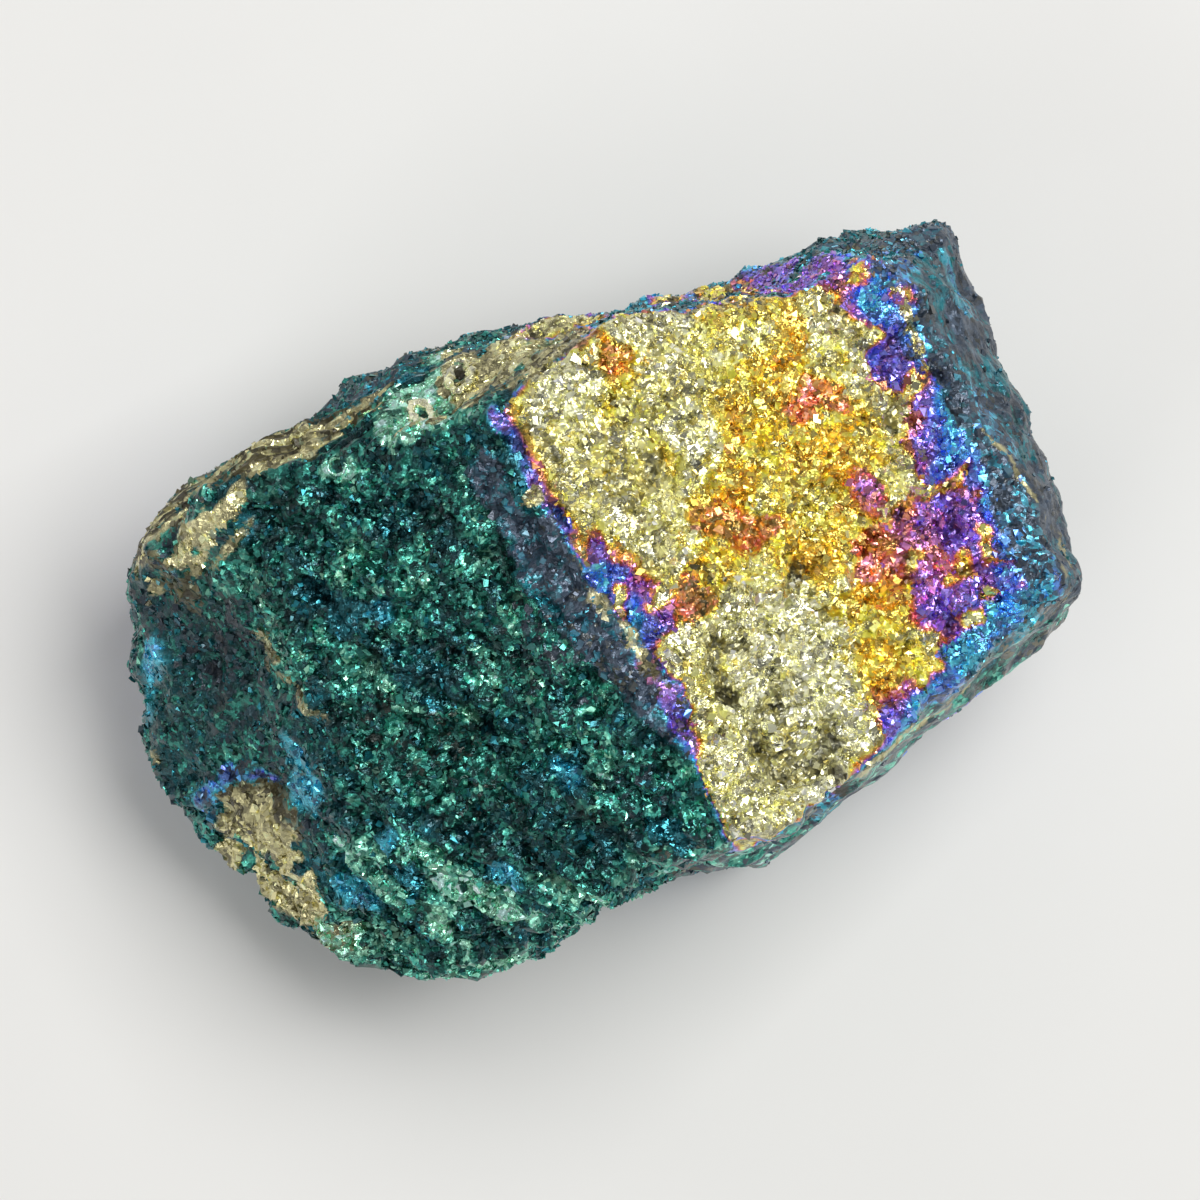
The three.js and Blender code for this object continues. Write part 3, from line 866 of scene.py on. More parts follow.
CREST_MARKS = (
    Mark(-6.1, 10.8, 0.8, 0.3, 120, film=0.46, slate=0.3),
    Mark(-4.9, 8.5, 1.4, 0.3, 115, film=0.56),
    Mark(-3.1, 5.6, 2.1, 0.3, 125, film=0.44),
    Mark(-2.3, 4.8, 1.1, 0.3, 135, film=0.57),
    Mark(-0.1, 2.9, 1.1, 0.7, 110, film=0.46),
    Mark(0.0, 1.4, 1.1, 0.8, 100, film=0.6),
    Mark(1.0, 1.7, 0.9, 0.6, 60, film=0.55),
    Mark(2.3, 0.5, 1.1, 0.9, 100, film=0.42),
    Mark(2.0, -0.8, 1.1, 0.7, 110, film=0.62),
    Mark(3.5, -1.2, 1.1, 0.7, 60, film=0.46),
    Mark(2.9, -2.1, 1.0, 0.5, 100, film=0.53),
    Mark(1.2, 2.6, 1.4, 0.3, 150, film=0.27),
    Mark(4.0, -5.8, 1.4, 0.5, 120, film=0.44, rust=0.4, slate=0.4),
    Mark(4.9, -7.7, 1.4, 0.6, 120, film=0.45, rust=0.35, slate=0.4),
    Mark(2.7, -4.0, 0.9, 0.5, 120, film=0.3, rust=0.5),
)
STEEL_SIDE_MARKS = (
    Mark(18.8, 21.6, 1.1, 0.5, 100, film=0.62, slate=0.1),
    Mark(17.5, 21.1, 1.4, 0.7, 100, film=0.64, slate=0.2),
    Mark(21.2, 19.5, 2.1, 0.3, 110, film=0.68, slate=0),
    Mark(22.0, 17.9, 1.4, 0.3, 120, film=0.69, slate=0),
    Mark(20.9, 13.6, 2.5, 0.6, 105, film=0.63, slate=0.2),
    Mark(23.6, 8.5, 2.1, 0.5, 110, film=0.66, slate=0.15),
    Mark(19.7, 7.2, 2.1, 0.2, 110, bare=0.4),
    Mark(18.5, 16.8, 2.1, 0.2, 110, bare=0.8),
    Mark(23.3, 9.6, 1.6, 0.1, 134, bare=0.7, hollow=0),
    Mark(25.3, 6.9, 2.2, 0.1, 122, bare=0.7, hollow=0),
    Mark(27.7, 2.1, 1.8, 0.3, 100, bare=0.5),
)

# Where the kinds of face meet without a fringe of film colours between them.
SHARP_BORDERS = (
    Mark(5.8, -9.4, 10.5, 2.8, 118),
    Mark(0.5, 16.8, 10.0, 2.4, 20),
    Mark(-16.0, 8.0, 10.0, 3.0, 30),
)

# Where the relief of the gold face is flatter, and where it is deeper.
CALM = Mark(10.8, 9.0, 8.0, 5.2, 100)
ROUGH = Mark(10.8, -7.2, 6.5, 4.5, 70)

MARKS = (
    TEAL_SLOPE_MARKS
    + SLATE_END_MARKS
    + STREAKED_SLOPE_MARKS
    + STEEL_SIDE_MARKS
    + GOLD_FACE_MARKS
    + CREST_MARKS
)


# Each number that is stored on a mesh stays between these.
LEAST, MOST = 0.01, 0.99


@dataclass
class Tarnish:
    """Works out the tarnish and the depth of each kind of relief at points of the surface.

    rag makes the rims of markings ragged, mottle varies the film, and slate, bare and rust vary those shares.
    Further down, film in a name is how much a noise changes the film, and dark or shade is how much it adds
    to the least painted shade. A step named for a place is where the noise sets in.
    """

    form: StoneForm
    marks: tuple[Mark, ...] = MARKS
    blend: tuple[float, float] = (0.2, 0.02)  # how softly kinds of face meet, in mm, and at sharp borders
    relief_blend: float = 0.8  # how softly the depths of their relief meet, in mm
    calm: float = 0.3  # how much flatter the relief is where it is calm
    rough: float = 0.55  # how much deeper it is where it is rough
    facing: Step = Step(0.12, 0.3)  # how far up a normal points where the marks start and are full
    rag: tuple[Octave, ...] = (Octave(1.5, 0.8, 341), Octave(0.7, 0.9, 342))
    mottle: tuple[Octave, ...] = (Octave(2.4, 0.6, 301), Octave(0.9, 0.6, 302))
    slate: tuple[Octave, ...] = (Octave(3.1, 0.6, 321), Octave(1.1, 0.6, 322))
    bare: tuple[Octave, ...] = (Octave(2.7, 0.6, 351), Octave(0.9, 0.5, 352))
    rust: tuple[Octave, ...] = (Octave(3.7, 0.9, 331), Octave(1.0, 0.8, 332))

    # Blue and violet patches of the sides and the underside.
    wild: tuple[Octave, ...] = (Octave(12.0, 1.0, 311), Octave(4.0, 0.3, 312), Octave(1.0, 0.12, 313))
    wild_film: Step = Step(-0.1, 1.0, 0.42)

    # Streaks of the streaked slope, with painted shade in the grooves between them, and broader strands of
    # both slopes, which darken the teal slope in patches.
    streak_film: float = 0.1
    streak_shade: Step = Step(0.2, 0.6, 0.5)
    strands: DrawnOut = DrawnOut(Octave(2.2, 1.0, 461), -35.0, 0.65)
    strand_swell: Octave = Octave(6.0, 0.6, 462)
    strand_film: float = 0.035
    strand_least: float = -0.4
    strand_dark: Step = Step(0.0, 1.0, 0.65)

    # Painted shade in the creases of the gold face, and broad patches of its film.
    creases: Octave = Octave(2.8, 1.0, 481)
    crease: Step = Step(0.02, 0.2)
    creased: Octave = Octave(5.0, 1.0, 482)
    crease_place: Step = Step(-0.4, 0.4)
    crease_shade: float = 0.25
    patches: tuple[Octave, ...] = (Octave(2.2, 1.0, 484), Octave(1.0, 0.6, 485))
    patch_film: float = 0.055
    patch_place: Step = Step(0.03, 0.12)

    # Pale and dark beds of the leafy edge, and how far down they reach.
    bed_waves: tuple[tuple[float, float], ...] = ((2.0, 1.0), (0.74, 0.9))  # half turns a bed, and depth
    bed_rag: float = 0.6
    bed_step: Step = Step(-1.0, 1.0)
    bed_blur: Octave = Octave(3.0, 1.0, 433)
    blur_step: Step = Step(-0.3, 0.4, 0.75)
    blurred: float = 0.7
    below: Step = Step(3.5, 8, 0.92)  # how far under the upper faces the edge's colours end, in mm
    bed_dark: float = 0.5
    pale: tuple[float, float] = (0.3, 0.8)  # bare ore of a dark bed, and how much more a pale one has

    def depths(self, points: Array) -> dict[str, Array]:
        """The depth of each kind of relief: each kind of face's own, by its share.

        Args:
            points: points in mm, shape (n, 3).

        Returns:
            The depths by name, each of shape (n,).
        """
        shares = self.form.shares(points, self.relief_blend)
        depths = blended(shares, ("lump", "grain", "fold", "layer", "streak"))
        rag = self.rag[0].at(points)
        change = 1 - self.calm * CALM.mask(points, rag) + self.rough * ROUGH.mask(points, rag)
        for name in ("lump", "fold"):
            depths[name] = depths[name] * change
        return depths

    def film(self, points: Array, shares: dict[Kind, Array], film: Array, strand: Array) -> Array:
        """The film, varied: wild patches thin it, and streaks and strands move it both ways.

        Args:
            points: points in mm, shape (n, 3).
            shares: each kind of face's share.
            film: the film of each kind of face, mottled.
            strand: the strands' noise.

        Returns:
            The film.
        """
        wild = shares[Kind.SIDE] + shares[Kind.UNDER]
        slopes = shares[Kind.TEAL] + shares[Kind.STREAKED]
        film = film - wild * self.wild_film.of(pattern(points, self.wild))
        film = film + self.streak_film * shares[Kind.STREAKED] * STREAKS.at(points)
        return film + self.strand_film * slopes * np.maximum(strand, self.strand_least)

    def beds(self, points: Array, mottle: Array) -> Array:
        """How pale the leafy edge's thin beds are: two sines of their count, ragged, and blurred in patches.

        Args:
            points: points in mm, shape (n, 3).
            mottle: the noise that makes them ragged.

        Returns:
            A number from 0 for dark to 1 for pale.
        """
        count = self.form.beds(points)
        wave = sum(depth * np.sin(turns * np.pi * count) for turns, depth in self.bed_waves)
        beds = self.bed_step.of(wave + self.bed_rag * mottle)
        return mix(beds, self.blurred, self.blur_step.of(self.bed_blur.at(points)))

    def dark(self, points: Array, shares: dict[Kind, Array], beds: Array, strand: Array) -> Array:
        """What is added to the least painted shade: darker beds and strands, and painted shade in the grooves
        between streaks and in creases, each on its own faces.

        Args:
            points: points in mm, shape (n, 3).
            shares: each kind of face's share.
            beds: how dark the beds of the leafy edge are.
            strand: the strands' noise.

        Returns:
            What is added.
        """
        crease = 1 - self.crease.of(np.abs(self.creases.at(points)))
        crease = crease * self.crease_place.of(self.creased.at(points))
        dark = self.bed_dark * beds * shares[Kind.LEAVES] + shares[Kind.TEAL] * self.strand_dark.of(-strand)
        dark = dark + shares[Kind.STREAKED] * self.streak_shade.of(np.abs(STREAKS.at(points)))
        return dark + self.crease_shade * shares[Kind.GOLD] * crease

    def numbers(self, points: Array, normals: Array, hollow: Array) -> dict[str, Array]:
        """The film, and the shares of slate, bare ore, rust and hollow, the painted shade, at points of the
        surface.

        Each kind of face gives its own by its share, and noises vary them. Thin beds stripe the leafy edge.
        Then each marking is laid over the upper faces, and broad patches vary the gold face's film.

        Args:
            points: points in mm, shape (n, 3).
            normals: unit normals there.
            hollow: the painted shade of each, from how deep it lies between the crystals, from 0 to 1.

        Returns:
            The numbers by name, each of shape (n,).
        """
        rag = pattern(points, self.rag)
        sharp = np.max([border.mask(points, rag) for border in SHARP_BORDERS], axis=0)
        shares = self.form.shares(points, mix(*self.blend, sharp))
        look = blended(shares, ("film", "spread", "slate", "bare", "rust", "grit", "face_shade"))
        mottle = pattern(points, self.mottle)
        strand = self.strands.at(points) + self.strand_swell.at(points)
        numbers = {"film": self.film(points, shares, look["film"] + look["spread"] * mottle, strand)}
        for name in ("slate", "bare", "rust"):
            numbers[name] = look[name] * pattern(points, getattr(self, name), 1.0)
        numbers["grit"] = look["grit"]
        beds = self.beds(points, mottle)
        high = 1 - self.below.of(-np.max([face.away(points) for face in self.form.faces[:3]], axis=0))
        for name, colour in (("bare", self.pale[0] + self.pale[1] * beds), ("rust", 1 - beds)):
            numbers[name] = numbers[name] * mix(1, high * colour, shares[Kind.LEAVES])
        dark = self.dark(points, shares, high * (1 - beds), strand)
        # Painted shade: that of the hollows, or at least each face's own, plus the darker beds, strands,
        # grooves and creases.
        numbers["hollow"] = np.maximum(hollow, look["face_shade"] + dark)
        up = self.facing.of(normals[:, 2])
        for mark in self.marks:
            share = up * mark.mask(points, rag)
            for name in ("film", "slate", "bare", "rust", "hollow"):
                value = getattr(mark, name)
                if value is not None:
                    numbers[name] = mix(numbers[name], value, share)
        patches = self.patch_film * pattern(points, self.patches) * self.patch_place.of(numbers["film"])
        numbers["film"] = numbers["film"] + shares[Kind.GOLD] * patches
        return {name: np.clip(value, LEAST, MOST) for name, value in numbers.items()}


# ---------------------------------------------------------------------------------------------------------
# Finishes


def linear(colour: str) -> tuple[float, ...]:
    """A colour as linear light: a straight line for the darkest tones, and a power of 2.4 above them.

    Args:
        colour: a hash and six hex digits of sRGB.

    Returns:
        Red, green, blue and a full alpha.
    """
    part = np.array([int(colour[k : k + 2], 16) for k in (1, 3, 5)]) / 255
    light = np.where(part <= 0.04045, part / 12.92, ((part + 0.055) / 1.055) ** 2.4)
    return (*light.tolist(), 1.0)


Sockets = bpy.types.bpy_prop_collection


class Wiring:
    """Adds nodes to one node tree and joins them."""

    def __init__(self, tree: bpy.types.NodeTree) -> None:
        """Keeps the tree, a material's or a group's."""
        self.tree = tree

    def node(self, kind: str, inputs: dict | None = None, **settings: object) -> bpy.types.Node:
        """Adds a node.

        Args:
            kind: the node's type, without the ShaderNode in front.
            inputs: values or sockets for its inputs, by name or number.
            settings: the node's own properties.

        Returns:
            The node.
        """
        made = self.tree.nodes.new("ShaderNode" + kind)
        for key, value in settings.items():
            setattr(made, key, value)
        for key, value in (inputs or {}).items():
            self.feed(made.inputs[key], value)
        return made

    def feed(self, socket: bpy.types.NodeSocket, value: object) -> None:
        """Joins a socket to another, or sets its value.

        Args:
            socket: the input.
            value: the socket that it is joined to, or its value.
        """
        if isinstance(value, bpy.types.NodeSocket):
            self.tree.links.new(value, socket)
        else:
            socket.default_value = value

    def give(self, values: dict[str, bpy.types.NodeSocket]) -> bpy.types.NodeTree:
        """Adds the output of a group.

        Args:
            values: a socket for each output's name.

        Returns:
            The group's tree.
        """
        out = self.tree.nodes.new("NodeGroupOutput").inputs
        for name, value in values.items():
            self.feed(out[name], value)
        return self.tree

    def math(self, operation: str, *values: object) -> bpy.types.NodeSocket:
        """The result of a Math node with these values."""
        return self.node("Math", dict(enumerate(values)), operation=operation).outputs[0]

    def swing(self, value: object, middle: float, much: float, base: object) -> bpy.types.NodeSocket:
        """The base, plus much times how far the value lies above its middle."""
        return self.math("MULTIPLY_ADD", self.math("SUBTRACT", value, middle), much, base)

    def vector(self, operation: str, *values: object) -> bpy.types.Node:
        """A Vector Math node with these values."""
        return self.node("VectorMath", dict(enumerate(values)), operation=operation)

    def scaled(self, vector: object, scale: float) -> bpy.types.NodeSocket:
        """The vector times a number."""
        return self.node("VectorMath", {0: vector, "Scale": scale}, operation="SCALE").outputs[0]

    def attribute(self, name: str) -> bpy.types.NodeSocket:
        """A number of the surface's own, read from the mesh."""
        return self.node("Attribute", attribute_name=name).outputs["Fac"]

    def noise(self, place: object, scale: float, detail: float) -> bpy.types.Node:
        """A noise texture, with scale waves for each unit of place and detail octaves under them."""
        return self.node("TexNoise", {"Vector": place, "Scale": scale, "Detail": detail})

    def mixed(self, share: object, a: object, b: object, blend: str = "MIX") -> bpy.types.NodeSocket:
        """Two colours mixed by share.

        Args:
            share: 0 for a, 1 for b.
            a: the first colour.
            b: the second colour.
            blend: how the second is laid over the first.

        Returns:
            The mixed colour's socket.
        """
        made = self.node("Mix", data_type="RGBA", blend_type=blend)
        for name, value in (("Factor_Float", share), ("A_Color", a), ("B_Color", b)):
            self.feed(next(s for s in made.inputs if s.identifier == name), value)
        return next(s for s in made.outputs if s.identifier == "Result_Color")

    def dimmed(self, colour: object, light: object) -> bpy.types.NodeSocket:
        """The colour times a number, as a grey that is multiplied with it."""
        grey = self.node("CombineColor", {0: light, 1: light, 2: light}).outputs[0]
        return self.mixed(1.0, colour, grey, "MULTIPLY")

    def ramp(self, value: object, stops: tuple[tuple[float, str], ...]) -> bpy.types.NodeSocket:
        """A colour ramp.

        Args:
            value: where on the ramp, from 0 to 1.
            stops: each stop's place and colour.

        Returns:
            The colour's socket.
        """
        made = self.node("ValToRGB", {"Fac": value})
        elements = made.color_ramp.elements
        for _ in range(len(stops) - 2):
            elements.new(0.5)
        for element, (place, colour) in zip(elements, stops):
            element.position = place
            element.color = linear(colour)
        return made.outputs["Color"]

    def slide(self, value: object, low: float, high: float, start: float, end: float) -> bpy.types.NodeSocket:
        """Carries value from low..high to start..end, and holds it there."""
        inputs = {"Value": value, 1: low, 2: high, 3: start, 4: end}
        return self.node("MapRange", inputs, clamp=True).outputs[0]


def new_group(name: str, inputs: dict[str, str], outputs: dict[str, str]) -> tuple[Wiring, Sockets]:
    """Starts a shader node group.

    Args:
        name: the group's name.
        inputs: each input's name and socket type.
        outputs: each output's name and socket type.

    Returns:
        The wiring for it, and its inputs as sockets to join to.
    """
    tree = bpy.data.node_groups.new(name, "ShaderNodeTree")
    for way, sockets in (("INPUT", inputs), ("OUTPUT", outputs)):
        for socket, kind in sockets.items():
            tree.interface.new_socket(name=socket, in_out=way, socket_type="NodeSocket" + kind)
    return Wiring(tree), tree.nodes.new("NodeGroupInput").outputs


def new_material(name: str) -> tuple[bpy.types.Material, Wiring, bpy.types.NodeSocket]:
    """Starts a material.

    Args:
        name: the material's name.

    Returns:
        The material, the wiring for it, and its Object coordinates, in metres.
    """
    made = bpy.data.materials.new(name)
    made.use_nodes = True
    made.node_tree.nodes.clear()
    wire = Wiring(made.node_tree)
    return made, wire, wire.node("TexCoord").outputs["Object"]


@dataclass(frozen=True)
class FacetGrain:
    """Fine crystal grain: cells that each lean their own way and have their own random tone."""

    name: str = "Facet grain"
    level: tuple[float, float, float] = (0.5, 0.5, 0.5)  # a cell's random colour that gives no lean
    scramble: float = 7.31  # makes the sum of two random numbers even from 0 to 1

    def group(self) -> bpy.types.NodeTree:
        """Builds the group.

        In each cell of a random pattern the height is the distance from the cell's middle along the cell's
        own direction. Tone is one random number for each cell.

        Returns:
            The group's tree.
        """
        outputs = {"Tone": "Float", "Height": "Float"}
        wire, given = new_group(self.name, {"Place": "Vector", "Size": "Float"}, outputs)
        scale = wire.math("DIVIDE", 1.0, given["Size"])
        cells = wire.node("TexVoronoi", {"Vector": given["Place"], "Scale": scale}, feature="F1").outputs
        lean = wire.vector("SUBTRACT", cells["Color"], self.level).outputs[0]
        away = wire.vector("SUBTRACT", given["Place"], cells["Position"]).outputs[0]
        height = wire.vector("DOT_PRODUCT", away, lean).outputs["Value"]
        parts = wire.node("SeparateColor", {"Color": cells["Color"]}).outputs
        tone = wire.math("FRACT", wire.math("MULTIPLY", wire.math("ADD", parts[0], parts[1]), self.scramble))
        return wire.give({"Tone": tone, "Height": height})


@dataclass(frozen=True)
class FilmColours:
    """The colours of the tarnish film by thickness, and of the slate, bare ore and rust that interrupt it."""

    name: str = "Film colours"
    stops: tuple[tuple[float, str], ...] = (
        (0.00, "#f6f5d8"),
        (0.06, "#f8f1b2"),
        (0.13, "#ffea80"),
        (0.21, "#ffd156"),
        (0.29, "#f6a966"),
        (0.36, "#e2878f"),
        (0.43, "#b077cf"),
        (0.51, "#8a81e6"),
        (0.60, "#6597f5"),
        (0.69, "#60c5e0"),
        (0.77, "#2b8e9c"),
        (0.84, "#15474a"),
        (0.90, "#41a291"),
        (0.97, "#b0f3d1"),
    )
    slate: str = "#546274"
    bare: str = "#e7dfaa"
    rust: str = "#5f5733"

    def group(self) -> bpy.types.NodeTree:
        """Builds the group: the film's colour from a ramp, under slate, bare ore and rust by their shares.

        Returns:
            The group's tree.
        """
        inputs = {"Film": "Float", "Slate": "Float", "Bare": "Float", "Rust": "Float"}
        wire, given = new_group(self.name, inputs, {"Color": "Color"})
        colour = wire.ramp(given["Film"], self.stops)
        for name, over in (("Slate", self.slate), ("Bare", self.bare), ("Rust", self.rust)):
            colour = wire.mixed(given[name], colour, linear(over))
        return wire.give({"Color": colour})


@dataclass(frozen=True)
class OreSurface:
    """How bright, rough and metallic the ore is under its covers: duller in slate, rust and hollows, where
    shade is painted, and brighter or darker from grain to grain with painted glints.
    """

    name: str = "Ore surface"
    softness: float = 0.25  # half the change of a share over which a grain turns from one cover to another
    smooth: float = 0.13  # roughness of the smoothest grain
    uneven: float = 0.2  # how much rougher the roughest one is
    metal: float = 0.97
    deepest: float = 0.2  # the share of light that the painted shade leaves in the deepest hollow
    dulled: tuple[tuple[str, float, float], ...] = (  # how much rougher and more metallic each makes it
        ("Hollow", 0.25, 0.0),
        ("Slate", 0.16, -0.3),
        ("Rust", 0.2, -0.5),
    )

    def group(self) -> bpy.types.NodeTree:
        """Builds the group.

        Each cover's share is turned into nearly all or nothing for each grain, by setting it against the
        grain's own number. The colour is the film's and the covers', times a brightness: painted shade that
        falls in hollows, and a random tone with painted glints that differs from grain to grain. Roughness
        rises and metal falls with slate, rust and hollow.

        Returns:
            The group's tree.
        """
        names = ("Film", "Slate", "Bare", "Rust", "Hollow", "Grain", "Light")
        outputs = {"Color": "Color", "Roughness": "Float", "Metallic": "Float"}
        wire, given = new_group(self.name, dict.fromkeys(names, "Float"), outputs)
        share = {"Film": given["Film"]}
        for cover in ("Slate", "Bare", "Rust"):
            reach = wire.math("MULTIPLY_ADD", given[cover], 1 + 2 * self.softness, -self.softness)
            over = wire.math("SUBTRACT", reach, given["Grain"])
            share[cover] = wire.slide(over, -self.softness, self.softness, 0.0, 1.0)
        film = wire.node("Group", share, node_tree=FilmColours().group()).outputs["Color"]
        # Painted glints and tone from grain to grain, times painted shade in the hollows.
        light = wire.math("MULTIPLY", given["Light"], wire.slide(given["Hollow"], 0, 1, 1.0, self.deepest))
        rough = wire.math("MULTIPLY_ADD", given["Grain"], self.uneven, self.smooth)
        metal = self.metal
        for name, rougher, shinier in self.dulled:
            number = share.get(name, given[name])
            rough = wire.math("MULTIPLY_ADD", number, rougher, rough)
            metal = wire.math("MULTIPLY_ADD", number, shinier, metal)
        return wire.give({"Color": wire.dimmed(film, light), "Roughness": rough, "Metallic": metal})


def shared(finish: FacetGrain | OreSurface) -> bpy.types.NodeTree:
    """The finish's node group, built the first time that it is asked for."""
    return bpy.data.node_groups.get(finish.name) or finish.group()


@dataclass(frozen=True)
class OreFinish:
    """What the finishes of the skin and of the grains share: the ore's surface under a thin clear coat."""

    name: str
    coat: float = 0.5
    coat_roughness: float = 0.22

    def dress(self, wire: Wiring, film: object, grain: object, light: object, bump: object) -> None:
        """Adds the ore's surface, its shader and the output to a material.

        Args:
            wire: the material's wiring.
            film: the film's socket.
            grain: the socket of each grain's own number, from 0 to 1.
            light: the socket of each grain's brightness, a random tone with painted glints.
            bump: the socket of the normal.
        """
        inputs = {name.title(): wire.attribute(name) for name in ("slate", "bare", "rust", "hollow")}
        inputs |= {"Film": film, "Grain": grain, "Light": light}
        surface = wire.node("Group", inputs, node_tree=shared(OreSurface())).outputs
        shader = wire.node(
            "BsdfPrincipled",
            {
                "Base Color": surface["Color"],
                "Roughness": surface["Roughness"],
                "Metallic": surface["Metallic"],
                "Normal": bump,
                "Coat Weight": self.coat,
                "Coat Roughness": self.coat_roughness,
                "Coat Normal": bump,
            },
        )
        wire.node("OutputMaterial", {"Surface": shader.outputs[0]})


@dataclass(frozen=True)
class SkinFinish(OreFinish):
    """The finish of the stone's skin: a metallic film over two sizes of fine crystal grain."""

    name: str = "Peacock ore skin"
    sizes: tuple[float, float] = (0.85, 0.36)  # of the larger and the smaller grains, in mm
    heights: tuple[float, float] = (0.85, 0.6)
    lights: tuple[tuple[float, float], ...] = ((0.55, 1.45), (0.6, 1.4))  # least and greatest brightness: random tone and painted glints
    bend: tuple[float, float, float] = (2.2, 3.0, 0.4)  # scale, detail and depth of what bends the grains
    speckle: tuple[float, float] = (2.6, 3.0)  # scale and detail
    speckle_height: float = 0.08
    speckle_film: float = 0.1
    grain_film: float = 0.065  # how much the film changes from grain to grain
    tone_range: tuple[float, float] = (0.25, 1.75)  # the sum of two tones that gives a grain 0, and 1

    def material(self) -> bpy.types.Material:
        """Builds the material.

        The film, the brightness (a random tone with painted glints) and the height are those of the two sizes
        of grains together, bent and speckled by two noises.

        Returns:
            The material.
        """
        made, wire, place = new_material(self.name)
        place = wire.scaled(place, 1 / MM)
        scale, detail, depth = self.bend
        bend = wire.scaled(wire.noise(place, scale, detail).outputs["Color"], depth)
        bent = wire.vector("ADD", place, bend).outputs[0]
        grain = shared(FacetGrain())
        large, small = (
            wire.node("Group", {"Place": bent, "Size": size}, node_tree=grain).outputs for size in self.sizes
        )
        speckle = wire.noise(place, *self.speckle).outputs["Fac"]
        tones = wire.math("ADD", large["Tone"], small["Tone"])
        film = wire.swing(tones, 1.0, self.grain_film, wire.attribute("film"))
        film = wire.swing(speckle, 0.5, self.speckle_film, film)
        # Each grain brighter or darker by its tone: painted glints.
        lights = [wire.slide(part["Tone"], 0, 1, *ends) for part, ends in zip((large, small), self.lights)]
        height = wire.math("MULTIPLY", large["Height"], self.heights[0])
        height = wire.math("MULTIPLY_ADD", small["Height"], self.heights[1], height)
        height = wire.math("MULTIPLY_ADD", speckle, self.speckle_height, height)
        height = wire.math("MULTIPLY", height, wire.attribute("grit"))
        bump = wire.node("Bump", {"Height": height, "Strength": 1.0, "Distance": MM}).outputs[0]
        own = wire.slide(tones, *self.tone_range, 0, 1)
        self.dress(wire, film, own, wire.math("MULTIPLY", *lights), bump)
        return made


@dataclass(frozen=True)
class GrainFinish(OreFinish):
    """The finish of the single grains: the same metallic film, one tone for each grain with painted glints,
    faintly uneven.
    """

    name: str = "Peacock ore grains"
    uneven: tuple[float, float] = (7.0, 2.0)  # scale and detail
    uneven_film: float = 0.06
    light: tuple[float, float] = (0.45, 1.65)  # least and greatest brightness, by tone: painted glints
    bump: tuple[float, float] = (0.5, 0.05)  # strength, and height in mm

    def material(self) -> bpy.types.Material:
        """Builds the material: the film and the height vary with one noise, and the brightness, painted
        glints, with the tone.

        Returns:
            The material.
        """
        made, wire, place = new_material(self.name)
        uneven = wire.noise(wire.scaled(place, 1 / MM), *self.uneven).outputs["Fac"]
        tone = wire.attribute("tone")
        film = wire.swing(uneven, 0.5, self.uneven_film, wire.attribute("film"))
        strength, height = self.bump
        bump = wire.node("Bump", {"Height": uneven, "Strength": strength, "Distance": height * MM}).outputs[0]
        self.dress(wire, film, tone, wire.slide(tone, 0, 1, *self.light), bump)
        return made


@dataclass(frozen=True)
class FloorFinish:
    """A plain pale floor with the faintest mottle."""

    name: str = "Pale floor"
    colour: str = "#e3e2df"
    roughness: float = 0.7
    mottle: tuple[float, float] = (40.0, 3.0)  # scale and detail
    light: tuple[float, float] = (0.97, 1.03)  # least and greatest brightness

    def material(self) -> bpy.types.Material:
        """Builds the material: the colour times a brightness that varies with one noise.

        Returns:
            The material.
        """
        made, wire, place = new_material(self.name)
        light = wire.slide(wire.noise(place, *self.mottle).outputs["Fac"], 0, 1, *self.light)
        colour = wire.dimmed(linear(self.colour), light)
        surface = wire.node("BsdfPrincipled", {"Base Color": colour, "Roughness": self.roughness})
        wire.node("OutputMaterial", {"Surface": surface.outputs[0]})
        return made


# ---------------------------------------------------------------------------------------------------------
# Pieces

# The corners of a cell, going round it, in steps across and up.
CELL = np.array([[0, 0], [1, 0], [1, 1], [0, 1]])


def cell_corners(across: int, up: int) -> Array:
    """The corners of each cell of a grid: its own place plus each corner of a cell, in steps across and up.

    Args:
        across: how many cells the grid has one way.
        up: how many it has the other way.

    Returns:
        Whole numbers, shape (across * up, 4, 2).
    """
    i, j = np.meshgrid(np.arange(across), np.arange(up), indexing="ij")
    return np.stack([i.ravel(), j.ravel()], axis=1)[:, None, :] + CELL


def on_chart(square: Array | tuple, squares: tuple[int, int], share: Array, margin: float) -> Array:
    """Places on the flat chart: a share of the way across and up one of its squares, inside a margin.

    Args:
        square: which square, counted across and up.
        squares: how many the chart has, across and up.
        share: how far across and up the square each place lies, from 0 to 1.
        margin: the part of the square that stays empty along each edge.

    Returns:
        The places, from 0 to 1.
    """
    return (np.array(square) + margin + (1 - 2 * margin) * share) / np.array(squares)


def new_object(name: str, points: Array, faces: Array, smooth: bool = True) -> bpy.types.Object:
    """Makes a mesh object at the origin.

    Args:
        name: the object's name.
        points: its points in mm, shape (n, 3).
        faces: the corners of each face, shape (m, 3) or (m, 4).
        smooth: whether it is shaded smooth.

    Returns:
        The object.
    """
    mesh = bpy.data.meshes.new(name)
    mesh.from_pydata(points * MM, [], faces)
    mesh.polygons.foreach_set("use_smooth", np.full(len(faces), smooth))
    mesh.update()
    made = bpy.data.objects.new(name, mesh)
    bpy.context.scene.collection.objects.link(made)
    return made


def add_numbers(piece: bpy.types.Object, numbers: dict[str, Array]) -> None:
    """Stores numbers on a piece's points.

    Args:
        piece: the piece.
        numbers: a number for each point, under each name.
    """
    for name, values in numbers.items():
        layer = piece.data.attributes.new(name, "FLOAT", "POINT")
        layer.data.foreach_set("value", values.astype(np.float32))


def add_chart(piece: bpy.types.Object, places: Array) -> None:
    """Stores the flat chart's place of each corner of each face."""
    piece.data.uv_layers.new(name="OFBake").data.foreach_set("uv", places.ravel().astype(np.float32))


